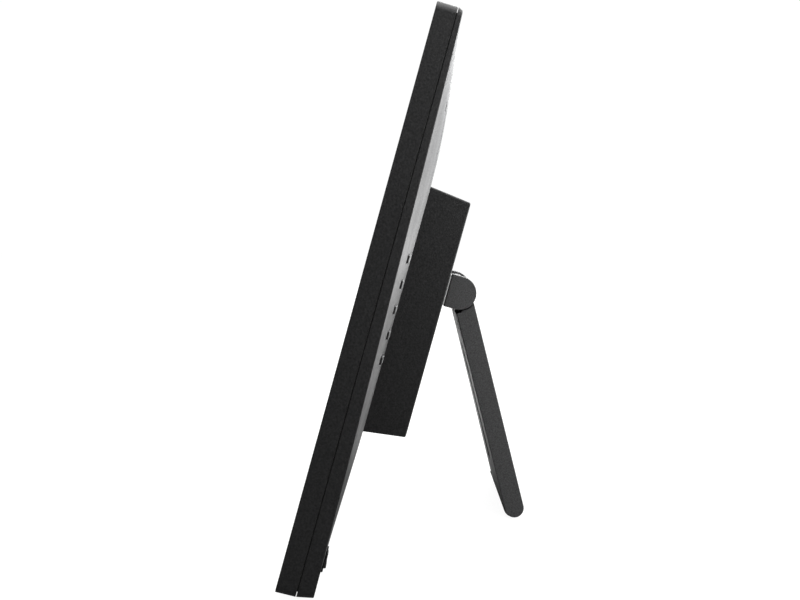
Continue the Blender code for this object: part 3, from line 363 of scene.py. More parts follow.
def bar(centre, axis, radius, length, segments=64, edge=0, end_radius=None):
    """A round bar along an axis, its two rims rounded by edge."""
    bm = bmesh.new()
    bmesh.ops.create_cone(bm, cap_ends=True, segments=segments, radius1=radius,
                          radius2=end_radius or radius, depth=length)
    if edge:
        soften_caps(bm, edge)
    turn = {"x": Matrix.Rotation(math.pi / 2, 3, "Y"), "y": Matrix.Rotation(-math.pi / 2, 3, "X"),
            "z": Matrix.Identity(3)}[axis]
    bmesh.ops.rotate(bm, matrix=turn, verts=bm.verts)
    bmesh.ops.translate(bm, vec=centre, verts=bm.verts)
    return bm


def soften_caps(bm, edge, segments=3):
    """Round the edges round a drawing's many-sided end faces."""
    rims = [e for e in bm.edges if any(len(face.verts) > 4 for face in e.link_faces)]
    bmesh.ops.bevel(bm, geom=rims, offset=edge, segments=segments, profile=0.5, affect="EDGES", material=-1)


def prism(outline, low_x, high_x):
    """An outline of (y, z) points, drawn out along x."""
    bm = bmesh.new()
    face = bm.faces.new([bm.verts.new((low_x, y, z)) for y, z in outline])
    drawn_out = bmesh.ops.extrude_face_region(bm, geom=[face])
    moved = [item for item in drawn_out["geom"] if isinstance(item, bmesh.types.BMVert)]
    bmesh.ops.translate(bm, vec=(high_x - low_x, 0, 0), verts=moved)
    return bm


def arc(centre, radius, first, last, steps):
    """Points on an arc in the y-z plane; 0 points along +y, and angles turn towards +z."""
    angles = [first + (last - first) * step / steps for step in range(steps + 1)]
    y, z = centre
    return [(y + radius * math.cos(angle), z + radius * math.sin(angle)) for angle in angles]


def outline(low_x, high_x, low_z, high_z, radius, side_x=1, side_z=1, corner=6):
    """Points round a rounded rectangle: its sides in side_x and side_z lengths, its corners in arcs."""
    points = []
    reach_x = high_x - low_x - 2 * radius
    reach_z = high_z - low_z - 2 * radius
    sides = ((high_x - radius, low_z + radius, -90, (0, 1), reach_z, side_z),
             (high_x - radius, high_z - radius, 0, (-1, 0), reach_x, side_x),
             (low_x + radius, high_z - radius, 90, (0, -1), reach_z, side_z),
             (low_x + radius, low_z + radius, 180, (1, 0), reach_x, side_x))
    for centre_x, centre_z, angle, way, reach, lengths in sides:
        for step in range(corner + 1):
            turn = math.radians(angle + 90 * step / corner)
            points.append((centre_x + radius * math.cos(turn), centre_z + radius * math.sin(turn)))
        last_x, last_z = points[-1]
        for step in range(1, lengths):
            share = step / lengths
            points.append((last_x + way[0] * reach * share, last_z + way[1] * reach * share))
    return points


def loft(bm, rings, closed=False):
    """A skin drawn through rings of places that match point for point. Gives its first and last edges."""
    verts = [bm.verts.new(spot) for spot in rings[0]]
    edges = [bm.edges.new((verts[index - 1], verts[index])) for index in range(len(verts))]
    first = edges
    for ring in rings[1:] + rings[:closed]:
        drawn_out = bmesh.ops.extrude_edge_only(bm, edges=edges)["geom"]
        fresh = {item for item in drawn_out if isinstance(item, bmesh.types.BMVert)}
        edges = [item for item in drawn_out
                 if isinstance(item, bmesh.types.BMEdge) and fresh.issuperset(item.verts)]
        verts = [next(end for end in (edge.other_vert(vert) for edge in vert.link_edges) if end in fresh)
                 for vert in verts]
        for vert, spot in zip(verts, ring):
            vert.co = spot
    if closed:
        bmesh.ops.remove_doubles(bm, verts=bm.verts, dist=0.001 * MM)
    return first, edges


def softened(corners, steps=3):
    """A section's corners, given as (values, reach), each drawn as a curve that starts reach away."""
    result = []
    for index, (corner, reach) in enumerate(corners):
        corner = Vector(corner)
        if not reach:
            result.append(corner)
            continue
        before = Vector(corners[index - 1][0]) - corner
        after = Vector(corners[(index + 1) % len(corners)][0]) - corner
        first = corner + before * (reach / max(abs(value) for value in before))
        last = corner + after * (reach / max(abs(value) for value in after))
        for step in range(steps + 1):
            share = step / steps
            result.append(first * (1 - share) ** 2 + corner * (2 * share * (1 - share)) + last * share ** 2)
    return result


# ------------------------------------------------------------------ front bezel
# One black moulding round the screen: a flat front, a soft edge to the window and a straight side
# wall. A lip behind it drops inside the rear cover, which leaves the parting groove.
bezel_low, bezel_high = drawn("front_bezel")
cover_low, cover_high = drawn("rear_cover")
HALF_WIDTH = bezel_high.x
HEIGHT = bezel_high.z
MIDDLE = HEIGHT / 2
DRAFT = HALF_WIDTH - cover_high.x
CORNER_RADIUS = 4.5 * MM
BEZEL_DEPTH = 10.7 * MM
SEAM_EDGE = 0.25 * MM
BEZEL_WALL = 2.4 * MM
WINDOW_X = 205.9 * MM
WINDOW_Z = 116.2 * MM
LIP_INSET = 2.95 * MM
LIP_WIDTH = 1.2 * MM


def bezel_corner(inset, depth, reach=0):
    return (HALF_WIDTH - inset, MIDDLE - inset, depth), reach


bezel_section = softened([
    ((WINDOW_X, WINDOW_Z, 0), 0.9 * MM),
    bezel_corner(0, 0, 0.5 * MM),
    bezel_corner(DRAFT, BEZEL_DEPTH, SEAM_EDGE),
    bezel_corner(LIP_INSET, BEZEL_DEPTH),
    bezel_corner(LIP_INSET, bezel_high.y, 0.2 * MM),
    bezel_corner(LIP_INSET + LIP_WIDTH, bezel_high.y),
    bezel_corner(LIP_INSET + LIP_WIDTH, BEZEL_WALL),
    ((WINDOW_X, WINDOW_Z, BEZEL_WALL), 0)])
bm = bmesh.new()
rings = []
for half_x, half_z, depth in bezel_section:
    radius = max(CORNER_RADIUS - (HALF_WIDTH - half_x), 0.8 * MM)
    flat = outline(-half_x, half_x, MIDDLE - half_z, MIDDLE + half_z, radius)
    rings.append([(x, depth, z) for x, z in flat])
loft(bm, rings, closed=True)
bezel = place("front_bezel_shell", bm, case_plastic)
belongs(bezel, "frame", "bezel_moulding", "front_bezel")

# ------------------------------------------------------------------ rear cover
# A wedge-shaped black moulding: a side wall that thins towards the top, a crisp rim, and a back that
# swells gently to a flat middle. The housing, buttons, switch and screws come through it.
COVER_FRONT = 11.0 * MM
COVER_WALL = 1.8 * MM
RIM_TOP = 13.45 * MM
RIM_BOTTOM = 19.76 * MM
RIM_BULGE = 0.32 * MM
INSET_TOP = 1.2 * MM
INSET_BOTTOM = 1.9 * MM
INSET_SIDE = 0.7 * MM
CROWN = cover_high.y
RISE_X = 130 * MM
RISE_Z = 90 * MM
RIM_EDGE = 0.45 * MM


def rim_depth(z):
    share = z / HEIGHT
    return RIM_BOTTOM + (RIM_TOP - RIM_BOTTOM) * share + RIM_BULGE * 4 * share * (1 - share)


def rise(distance, width):
    return 1 - (1 - min(max(distance / width, 0), 1)) ** 2


def back_depth(x, z):
    """Depth of the swelling back at a place on it."""
    dome = rise(HALF_WIDTH - abs(x), RISE_X) * rise(min(z, HEIGHT - z), RISE_Z)
    return rim_depth(z) + (CROWN - rim_depth(z)) * dome


def cover_ring(inset_x, inset_low, inset_high, radius):
    """The cover's outline drawn in by some insets, with places enough along it to follow the back."""
    return outline(inset_x - HALF_WIDTH, HALF_WIDTH - inset_x, inset_low, HEIGHT - inset_high, radius,
                   side_x=36, side_z=28, corner=7)


def cover_shell():
    bm = bmesh.new()
    front = [Vector((x, COVER_FRONT, z)) for x, z in cover_ring(DRAFT, DRAFT, DRAFT, CORNER_RADIUS)]
    rim = [Vector((x, rim_depth(z), z))
           for x, z in cover_ring(INSET_SIDE, INSET_BOTTOM, INSET_TOP, CORNER_RADIUS)]
    near = [Vector((x, back_depth(x, z), z))
            for x, z in cover_ring(INSET_SIDE + RIM_EDGE, INSET_BOTTOM + RIM_EDGE, INSET_TOP + RIM_EDGE,
                                   CORNER_RADIUS)]
    rings = []
    for share in (1.0, 0.8, 0.6, 0.4, 0.2, 0.05):
        flat = cover_ring(INSET_SIDE + RISE_X * share, INSET_BOTTOM + RISE_Z * share,
                          INSET_TOP + RISE_Z * share, CORNER_RADIUS)
        rings.append([(x, back_depth(x, z) - COVER_WALL, z) for x, z in flat])
    inner = DRAFT + COVER_WALL
    flat = cover_ring(inner, inner, inner, CORNER_RADIUS - COVER_WALL)
    rings.append([(x, COVER_FRONT, z) for x, z in flat])
    for turn in range(5):
        turned = math.radians(22.5 * turn)
        inset = SEAM_EDGE * (1 - math.sin(turned))
        flat = cover_ring(DRAFT + inset, DRAFT + inset, DRAFT + inset, CORNER_RADIUS - inset)
        rings.append([(x, COVER_FRONT + SEAM_EDGE * (1 - math.cos(turned)), z) for x, z in flat])
    steps = 4
    for step in range(steps + 1):
        share = step / steps
        places = []
        for fore, corner, aft in zip(front, rim, near):
            first = corner.lerp(fore, RIM_EDGE / (corner - fore).length)
            places.append(first * (1 - share) ** 2 + corner * (2 * share * (1 - share)) + aft * share ** 2)
        rings.append(places)
    swells = [0.012, 0.03, 0.06, 0.1] + [0.15 + 0.85 * step / 17 for step in range(18)]
    for share in swells:
        flat = cover_ring(INSET_SIDE + RISE_X * share, INSET_BOTTOM + RISE_Z * share,
                          INSET_TOP + RISE_Z * share, CORNER_RADIUS + 6 * MM * share)
        rings.append([(x, back_depth(x, z), z) for x, z in flat])
    for end in loft(bm, rings):
        bmesh.ops.edgeloop_fill(bm, edges=end)
    return bm


cover = place("rear_cover_shell", cover_shell(), case_plastic)
housing_low, housing_high = drawn("housing_cover")
HOUSING_FOOT = 5.0 * MM            # turned-out foot of the housing, under the cover
OPENING_GAP = 0.3 * MM
inset = HOUSING_FOOT - OPENING_GAP
openings = [slab((housing_low.x + inset, 14 * MM, housing_low.z + inset),
                 (housing_high.x - inset, 30 * MM, housing_high.z - inset), 1.0 * MM, "y")]

# the five buttons' seats, square to the back where each one stands
BUTTON_ROOM = 0.4 * MM
BUTTON_HALF_X = 6.0 * MM
BUTTON_HALF_Z = 2.2 * MM
BUTTON_PROUD = 1.1 * MM
seats = []
for number in range(1, 6):
    inward = Matrix.Rotation(LEAN, 3, "X") @ Vector(joint(f"press_{number}")["axis"])
    slope = math.atan2(inward.x, -inward.y)
    turned = Matrix.Rotation(-LEAN, 4, "X") @ Matrix.Rotation(slope, 4, "Z")
    low, high = drawn(f"button_{number}", turned)
    middle = (low + high) / 2
    seats.append(turned @ Matrix.Translation((middle.x, high.y - BUTTON_PROUD, middle.z)))

rocker_low, rocker_high = drawn("rocker_frame")
rocker_middle = (rocker_low + rocker_high) / 2
openings.append(slab((rocker_low.x + 0.7 * MM, 5 * MM, rocker_low.z + 0.7 * MM),
                     (rocker_high.x - 0.7 * MM, 30 * MM, rocker_high.z - 0.7 * MM)))
for number in range(1, 5):
    low, high = drawn(f"cover_screw_{number}")
    middle = (low + high) / 2
    openings.append(bar((middle.x, high.y, middle.z), "y", (high.x - low.x) / 2 + 0.3 * MM, 12 * MM, 32))
carve(cover, openings)
for seat in seats:
    hole = slab((-BUTTON_HALF_X - BUTTON_ROOM, -8 * MM, -BUTTON_HALF_Z - BUTTON_ROOM),
                (BUTTON_HALF_X + BUTTON_ROOM, 4 * MM, BUTTON_HALF_Z + BUTTON_ROOM), 0.9 * MM, "y")
    carve(cover, [hole], seat)
belongs(cover, "frame", "back_moulding", "rear_cover")

# ------------------------------------------------------------------ electronics housing
# A five-sided black box that tapers to the back with soft edges. Its foot turns out under the rear
# cover; its left wall is open for the sockets, its underside for the loudspeakers.
HOUSING_DRAFT_X = 2.0 * MM
HOUSING_DRAFT_Z = 3.6 * MM
HOUSING_WALL = 2.2 * MM
HOUSING_RADIUS = 1.2 * MM
FLANGE_THICKNESS = 1.4 * MM
housing_middle = (housing_low.z + housing_high.z) / 2
wall_x = housing_high.x - HOUSING_FOOT
wall_z = housing_high.z - HOUSING_FOOT - housing_middle
flange_front = housing_low.y
flange_back = flange_front + FLANGE_THICKNESS
back_x = wall_x - HOUSING_DRAFT_X
back_z = wall_z - HOUSING_DRAFT_Z
housing_section = [
    (back_x - HOUSING_WALL, back_z - HOUSING_WALL, housing_high.y - HOUSING_WALL),
    (wall_x - HOUSING_WALL, wall_z - HOUSING_WALL, flange_front),
    (wall_x + HOUSING_FOOT, wall_z + HOUSING_FOOT, flange_front),
    (wall_x + HOUSING_FOOT, wall_z + HOUSING_FOOT, flange_back),
    (wall_x, wall_z, flange_back)]
back_edge = softened([
    ((wall_x, wall_z, flange_back), 0),
    ((back_x, back_z, housing_high.y), HOUSING_RADIUS),
    ((0, 0, housing_high.y), 0)], steps=8)
bm = bmesh.new()
rings = []
for half_x, half_z, depth in housing_section + back_edge[1:-1]:
    flat = outline(-half_x, half_x, housing_middle - half_z, housing_middle + half_z,
                   HOUSING_RADIUS, corner=8)
    rings.append([(x, depth, z) for x, z in flat])
for end in loft(bm, rings):
    bmesh.ops.edgeloop_fill(bm, edges=end)
housing = place("housing_cover_shell", bm, housing_plastic)

openings = []
SCREW_ROOM = 0.35 * MM
SINK_EDGE = 0.4 * MM
for number in range(1, 5):
    low, high = drawn(f"housing_screw_{number}")
    middle = (low + high) / 2
    sink = (high.x - low.x) / 2 + SCREW_ROOM
    openings.append(bar((middle.x, high.y - 0.2 * MM, middle.z), "y", sink, 4.4 * MM, 32))
    openings.append(bar((middle.x, housing_high.y, middle.z), "y", sink, 2 * SINK_EDGE, 32,
                        end_radius=sink + 2 * SINK_EDGE))

# the sockets' mouths in millimetres, deep and tall, and the openings round them in the left wall
SOCKET_MOUTHS = {"dc_inlet": (6.4, 6.4), "usb_port": (5.2, 12.4), "card_slot": (2.6, 24.6),
                 "audio_jack": (4.4, 4.4)}
MOUTH_ROOM = 0.6 * MM
for node, (deep, tall) in SOCKET_MOUTHS.items():
    low, high = drawn(node)
    middle = (low + high) / 2
    if node in ("dc_inlet", "audio_jack"):
        openings.append(bar((low.x, middle.y, middle.z), "x", deep / 2 * MM + 0.8 * MM, 12 * MM, 48))
    else:
        half_deep = deep / 2 * MM + MOUTH_ROOM
        half_tall = tall / 2 * MM + MOUTH_ROOM
        openings.append(slab((low.x - 7 * MM, middle.y - half_deep, middle.z - half_tall),
                             (low.x + 5 * MM, middle.y + half_deep, middle.z + half_tall), 0.8 * MM, "x"))

# five round-ended slots under each loudspeaker
GRILLE_PITCH = 5.5 * MM
GRILLE_HALF = Vector((1.1, 7.0, 0)) * MM
for node in ("speaker_left", "speaker_right"):
    low, high = drawn(node)
    middle = (low + high) / 2
    for index in range(-2, 3):
        x = middle.x + index * GRILLE_PITCH
        openings.append(slab((x - GRILLE_HALF.x, middle.y - GRILLE_HALF.y, low.z - 8 * MM),
                             (x + GRILLE_HALF.x, middle.y + GRILLE_HALF.y, low.z - 0.15 * MM),
                             GRILLE_HALF.x * 0.98, "z", segments=6))
carve(housing, openings)
belongs(housing, "frame", "housing_moulding", "housing_cover")

# ------------------------------------------------------------------ screws
# Pan heads with a crossed recess, turned and then struck. Black in the plastic, bright where they
# hold the boards and the hinge.


def metal(name, dark, light, rough, grain, metallic=1.0):
    """Bare or blacked steel with a fine drawn grain."""
    material = grained(name, dark, light, rough, grain=grain, depth=0.01, gloss=0.5)
    material.node_tree.nodes["Principled BSDF"].inputs["Metallic"].default_value = metallic
    return material


black_steel = metal("blacked steel", (0.03, 0.03, 0.032), (0.055, 0.055, 0.058), 0.36, 0.3)
bright_steel = metal("bright steel", (0.5, 0.5, 0.5), (0.62, 0.62, 0.61), 0.32, 0.3)
SHANK_RADIUS = 1.5 * MM
HEAD_HEIGHT = 1.9 * MM
CROSS_LENGTH = 3.1 * MM
CROSS_WIDTH = 0.62 * MM
CROSS_DEPTH = 1.1 * MM


def pan_screw(node, body, slot, material, drawing=TIPPED, head_back=True):
    """Stands for a screw node along y, with its head at the back or at the front of its drawing."""
    low, high = drawn(node, drawing)
    middle = (low + high) / 2
    head = (high.x - low.x) / 2
    way = -1 if head_back else 1
    top = high.y if head_back else low.y
    length = high.y - low.y
    dome = 0.45 * MM
    profile = [(0, 0), (head * 0.35, 0.02 * MM), (head * 0.7, dome * 0.35), (head * 0.92, dome),
               (head, dome * 1.9), (head, HEAD_HEIGHT), (SHANK_RADIUS, HEAD_HEIGHT),
               (SHANK_RADIUS, length - 0.4 * MM), (SHANK_RADIUS * 0.7, length), (0, length)]
    bm = bmesh.new()
    verts = [bm.verts.new((radius, way * down, 0)) for radius, down in profile]
    edges = [bm.edges.new(pair) for pair in zip(verts, verts[1:])]
    bmesh.ops.spin(bm, geom=verts + edges, cent=(0, 0, 0), axis=(0, 1, 0), angle=2 * math.pi, steps=32,
                   use_merge=True)
    bmesh.ops.remove_doubles(bm, verts=bm.verts, dist=0.005 * MM)
    bmesh.ops.translate(bm, vec=(middle.x, top, middle.z), verts=bm.verts)
    screw = place(node + "_pan", bm, material, drawing)
    arms = []
    for half_x, half_z in ((CROSS_LENGTH / 2, CROSS_WIDTH / 2), (CROSS_WIDTH / 2, CROSS_LENGTH / 2)):
        depths = sorted((top - way * 2 * MM, top + way * CROSS_DEPTH))
        arms.append(slab((middle.x - half_x, depths[0], middle.z - half_z),
                         (middle.x + half_x, depths[1], middle.z + half_z), 0.12 * MM, "y", 2))
    carve(screw, arms, drawing)
    belongs(screw, body, slot, node)


for number in range(1, 5):
    pan_screw(f"housing_screw_{number}", "frame", "black_screw", black_steel)
    pan_screw(f"cover_screw_{number}", "frame", "black_screw", black_steel)
    pan_screw(f"board_screw_{number}", "frame", "bright_screw", bright_steel)
for number in (1, 2):
    pan_screw(f"leg_screw_{number}", "leg", "black_screw", black_steel, HANGING, head_back=False)
    for side in ("left", "right"):
        pan_screw(f"hinge_screw_{side}_{number}", "frame", "bright_screw", bright_steel, head_back=False)

# ------------------------------------------------------------------ hinge
# Two D-shaped plastic ears on a narrow steel plate, screwed on from inside the housing. A steel pin
# runs through both, and a steel washer beside each ear holds the leg by friction.
HINGE_AXIS = TIPPED.inverted() @ Vector(joint("leg_fold")["pos_m"])
BORE = (drawn("hinge_pin")[1].z - drawn("hinge_pin")[0].z) / 2 + 0.3 * MM
EAR_EDGE = 0.5 * MM
PIN_CLEARANCE = 0.3 * MM
PLATE_SLOT_HALF = 7.5 * MM

plate_low, plate_high = drawn("hinge_plate")
plate = place("hinge_plate_steel", slab(plate_low, plate_high, 0.4 * MM, "xyz", 2), bright_steel)
ear_low, ear_high = drawn("hinge_ear_right")
carve(plate, [slab((-ear_low.x, 0, HINGE_AXIS.z - PLATE_SLOT_HALF),
                   (ear_low.x, 80 * MM, HINGE_AXIS.z + PLATE_SLOT_HALF), 1.5 * MM, "y")])
belongs(plate, "frame", "pressed_steel", "hinge_plate")

for side in ("left", "right"):
    low, high = drawn(f"hinge_ear_{side}")
    radius = (high.z - low.z) / 2
    shape = ([(low.y, low.z)]
             + arc((HINGE_AXIS.y, HINGE_AXIS.z), radius, -math.pi / 2, math.pi / 2, 48)
             + [(low.y, high.z)])
    bm = prism(shape, low.x, high.x)
    soften_caps(bm, EAR_EDGE)
    ear = place(f"hinge_ear_{side}_moulding", bm, hinge_plastic)
    inner = low.x if side == "right" else high.x
    pin_low, pin_high = drawn("hinge_pin")
    blind = pin_high.x + PIN_CLEARANCE if side == "right" else pin_low.x - PIN_CLEARANCE
    reach = blind - inner
    hole_middle = (inner + reach / 2 - math.copysign(2 * MM, reach), HINGE_AXIS.y, HINGE_AXIS.z)
    carve(ear, [bar(hole_middle, "x", BORE, abs(reach) + 4 * MM, 32)])
    belongs(ear, "frame", "hinge_moulding", f"hinge_ear_{side}")

    low, high = drawn(f"friction_washer_{side}")
    middle = (low + high) / 2
    washer = place(f"friction_washer_{side}_disc",
                   bar(middle, "x", (high.z - low.z) / 2, high.x - low.x, 96, 0.3 * MM), bright_steel)
    carve(washer, [bar(middle, "x", BORE, 20 * MM, 32)])
    belongs(washer, "frame", "pressed_steel", f"friction_washer_{side}")

# ------------------------------------------------------------------ leg
# A flat plastic paddle that widens towards a round foot, cored out by a pocket in its front face. Its
# knuckle is a separate barrel whose tongue slides into the paddle and is held by two screws.
leg_low, leg_high = drawn("leg", HANGING)
barrel_low, barrel_high = drawn("leg_knuckle", HANGING)
washer_low, washer_high = drawn("friction_washer_right")
barrel_radius = (washer_high.z - washer_low.z) / 2
EAR_RADIUS = (ear_high.z - ear_low.z) / 2
HINGE_GAP = 0.8 * MM
FOOT_RADIUS = 6.2 * MM
LEG_OFFSET = 1.1 * MM
LEG_HALF_THICK = 6.5 * MM
LEG_HALF_TOP = 45.5 * MM
LEG_HALF_FOOT = 64.0 * MM
LEG_EDGE = 0.8 * MM
foot_z = leg_low.z + FOOT_RADIUS
TONGUE_HALF = Vector((barrel_high.x - 4 * MM, 2.8 * MM, 0))
TONGUE_ROOM = 0.3 * MM
BARREL_ROOM = 0.6 * MM
SHOULDER_DROP = 1.6 * MM


def leg_half(z):
    return LEG_HALF_TOP + (LEG_HALF_FOOT - LEG_HALF_TOP) * min(max(z / foot_z, 0), 1.1)


steps = 12
front_run = [(LEG_OFFSET - LEG_HALF_THICK + (LEG_HALF_THICK - FOOT_RADIUS) * step / steps,
              leg_high.z + (foot_z - leg_high.z) * step / steps) for step in range(steps)]
back_run = [(2 * LEG_OFFSET - y, z) for y, z in reversed(front_run)]
bm = prism(front_run + arc((LEG_OFFSET, foot_z), FOOT_RADIUS, math.pi, 2 * math.pi, 32) + back_run, -1, 1)
for vert in bm.verts:
    vert.co.x *= leg_half(vert.co.z)
soften_caps(bm, LEG_EDGE)
leg = place("leg_paddle", bm, leg_plastic, HANGING)

POCKET_START = -37 * MM
POCKET_END = -121 * MM
POCKET_HALF_START = 10 * MM
POCKET_HALF_END = 15 * MM
POCKET_DEPTH = 8.5 * MM
leg_front = LEG_OFFSET - LEG_HALF_THICK
bm = slab((-1, leg_front - 2 * MM, POCKET_END), (1, leg_front + POCKET_DEPTH, POCKET_START))
for vert in bm.verts:
    share = (vert.co.z - POCKET_START) / (POCKET_END - POCKET_START)
    vert.co.x *= POCKET_HALF_START + (POCKET_HALF_END - POCKET_HALF_START) * share
sides = [edge for edge in bm.edges if along(edge) == "y"]
bmesh.ops.bevel(bm, geom=sides, offset=2.5 * MM, segments=6, profile=0.5, affect="EDGES", material=-1)
cuts = [bm, bar((0, 0, 0), "x", barrel_radius + BARREL_ROOM, 4 * barrel_high.x, 96)]
washer_out = washer_high.x
for side in (-1, 1):
    reach = 60 * MM
    cuts.append(bar((side * (washer_out + reach / 2), 0, 0), "x", EAR_RADIUS + HINGE_GAP, reach, 96))
    ends = sorted((side * washer_out, side * (washer_out + reach)))
    cuts.append(slab((ends[0], -20 * MM, -EAR_RADIUS - SHOULDER_DROP), (ends[1], -1.5 * MM, 1 * MM)))
slot_x = TONGUE_HALF.x + TONGUE_ROOM
cuts.append(slab((-slot_x, LEG_OFFSET - TONGUE_HALF.y - TONGUE_ROOM, barrel_low.z - TONGUE_ROOM),
                 (slot_x, LEG_OFFSET + TONGUE_HALF.y + TONGUE_ROOM, 2 * MM)))

pad_low, pad_high = drawn("leg_foot_pad", HANGING)
PAD_RADIUS = foot_z - pad_low.z
PAD_THICK = 2.0 * MM
PAD_FIRST = math.radians(176)
PAD_LAST = math.radians(318)
PAD_ROOM = 0.3 * MM


def pad_section(inner, outer, widen, steps=40):
    """Part of a ring round the middle of the foot."""
    centre = (LEG_OFFSET, foot_z)
    return (arc(centre, outer, PAD_FIRST - widen, PAD_LAST + widen, steps)
            + arc(centre, inner, PAD_LAST + widen, PAD_FIRST - widen, steps))


pad_seat = pad_section(PAD_RADIUS - PAD_THICK - PAD_ROOM, PAD_RADIUS + 2 * MM, PAD_ROOM / PAD_RADIUS)
cuts.append(prism(pad_seat, pad_low.x - PAD_ROOM, pad_high.x + PAD_ROOM))
for number in (1, 2):
    low, high = drawn(f"leg_screw_{number}", HANGING)
    middle = (low + high) / 2
    sink = (high.x - low.x) / 2 + PAD_ROOM
    depth = 2 * (low.y - leg_front + HEAD_HEIGHT + PAD_ROOM)
    cuts.append(bar((middle.x, leg_front, middle.z), "y", sink, depth, 32))
carve(leg, cuts, HANGING)
belongs(leg, "leg", "leg_moulding", "leg")

knuckle = place("leg_knuckle_barrel", bar((0, 0, 0), "x", barrel_radius, 2 * barrel_high.x, 96, 0.5 * MM),
                leg_plastic, HANGING)
carve(knuckle, [slab((-TONGUE_HALF.x, LEG_OFFSET - TONGUE_HALF.y, barrel_low.z),
                     (TONGUE_HALF.x, LEG_OFFSET + TONGUE_HALF.y, -4 * MM))], HANGING, operation="UNION")
carve(knuckle, [bar((0, 0, 0), "x", BORE, 4 * barrel_high.x, 32)], HANGING)
belongs(knuckle, "leg", "hinge_moulding", "leg_knuckle")

# ------------------------------------------------------------------ rubber
# A strip bonded round the underside of the leg's foot, and two blocks under the frame, cut level
# with the floor. Dull black rubber.
rubber = grained("black rubber", (0.006, 0.006, 0.006), (0.013, 0.013, 0.0128), 0.85,
                 grain=0.7, depth=0.05, gloss=0.2)
bm = prism(pad_section(PAD_RADIUS - PAD_THICK, PAD_RADIUS, 0), pad_low.x, pad_high.x)
soften_caps(bm, 0.3 * MM, 2)
pad = place("leg_foot_strip", bm, rubber, HANGING)
belongs(pad, "leg", "foot_rubber", "leg_foot_pad")

for side in ("left", "right"):
    low, high = drawn(f"frame_foot_{side}")
    bm = slab(low, high, 2.0 * MM, "z", 5)
    soften_caps(bm, 0.35 * MM)
    ground = TIPPED.inverted() @ Vector((0, 0, 0))
    upright = TIPPED.inverted().to_3x3() @ Vector((0, 0, 1))
    faces = bm.verts[:] + bm.edges[:] + bm.faces[:]
    sole = bmesh.ops.bisect_plane(bm, geom=faces, plane_co=ground, plane_no=upright, clear_inner=True)
    rim = [item for item in sole["geom_cut"] if isinstance(item, bmesh.types.BMEdge)]
    bmesh.ops.edgeloop_fill(bm, edges=rim)
    block = place(f"frame_foot_{side}_block", bm, rubber)
    belongs(block, "frame", "foot_rubber", f"frame_foot_{side}")

# ------------------------------------------------------------------ push buttons
# Five black moulded caps in their slots, with rounded edges. Each stands on a wider hidden foot that
# keeps it in.
button_plastic = grained("button plastic", (0.012, 0.012, 0.012), (0.02, 0.02, 0.0205), 0.4,
                         grain=0.35, depth=0.02)
BUTTON_EDGE = 0.55 * MM
BUTTON_FOOT = 1.6 * MM
for number, seat in enumerate(seats, 1):
    low, high = drawn(f"button_{number}", seat)
    bm = slab((-BUTTON_HALF_X, low.y + 0.4 * MM, -BUTTON_HALF_Z),
              (BUTTON_HALF_X, high.y, BUTTON_HALF_Z), BUTTON_EDGE, "xyz", 4)
    cap = place(f"button_{number}_cap", bm, button_plastic, seat)
    foot = slab(low, (high.x, low.y + BUTTON_FOOT, high.z), 0.3 * MM, "xyz", 2)
    carve(cap, [foot], seat, operation="UNION")
    belongs(cap, f"push_button_{number}", "button_plastic", f"button_{number}")

# ------------------------------------------------------------------ power rocker
# A small black rocker that tips on a pin in a rimmed frame, which clips into the back. Its face dips
# in the middle, and the frame's rim stands just proud of the back.
rocker_plastic = grained("rocker plastic", (0.010, 0.010, 0.010), (0.017, 0.017, 0.017), 0.3,
                         grain=0.4, depth=0.015)
RIM_HEIGHT = 0.5 * MM
RIM_STEP = 0.3 * MM
RIM_CORNER = 1.2 * MM
WELL_WALL = 1.2 * MM
step_in = Vector((RIM_STEP, 0, RIM_STEP))
wall_in = Vector((WELL_WALL, 0, WELL_WALL))
body_top = rocker_high.y - RIM_HEIGHT / 2
socket_body = slab(rocker_low + step_in, Vector((rocker_high.x, body_top, rocker_high.z)) - step_in)
rocker_frame = place("rocker_frame_body", socket_body, case_plastic)
rim = slab((rocker_low.x, rocker_high.y - RIM_HEIGHT, rocker_low.z), rocker_high, RIM_CORNER, "y", 6)
soften_caps(rim, 0.15 * MM)
carve(rocker_frame, [rim], operation="UNION")
carve(rocker_frame, [slab(Vector((rocker_low.x, rocker_low.y + WELL_WALL, rocker_low.z)) + wall_in,
                          Vector((rocker_high.x, 2 * rocker_high.y, rocker_high.z)) - wall_in)])
belongs(rocker_frame, "frame", "connector_plastic", "rocker_frame")

tip = joint("power_rock")
half_tip = math.radians(sum(tip["range_deg"]) / 2)
TIPPING = Matrix.Translation(tip["pos_m"]) @ Matrix.Rotation(half_tip - LEAN, 4, "X")
low, high = drawn("power_rocker", TIPPING)
dip = high.y - high.z * math.tan(half_tip)
skirt = -0.5 * MM
keel = softened([((low.y, -2 * MM), 0.4 * MM), ((skirt, low.z), 0.4 * MM), ((high.y, low.z), 0.7 * MM),
                 ((dip, 0), 2.6 * MM), ((high.y, high.z), 0.7 * MM), ((skirt, high.z), 0.4 * MM),
                 ((low.y, 2 * MM), 0.4 * MM)], steps=6)
bm = prism(keel, low.x, high.x)
soften_caps(bm, 0.35 * MM)
rocker = place("power_rocker_key", bm, rocker_plastic, TIPPING)
belongs(rocker, "rocker", "rocker_plastic", "power_rocker")

# ------------------------------------------------------------------ screen
# A flat glass panel with a matt dark polariser, held in a folded steel tray with films and a light
# guide behind it. Only the glass and the tray's blackened front edge show.


def finish_node(node, material):
    """Give a node of the frame its procedural material."""
    slots = frame["nodes"][node].data.materials
    slots.clear()
    slots.append(material)


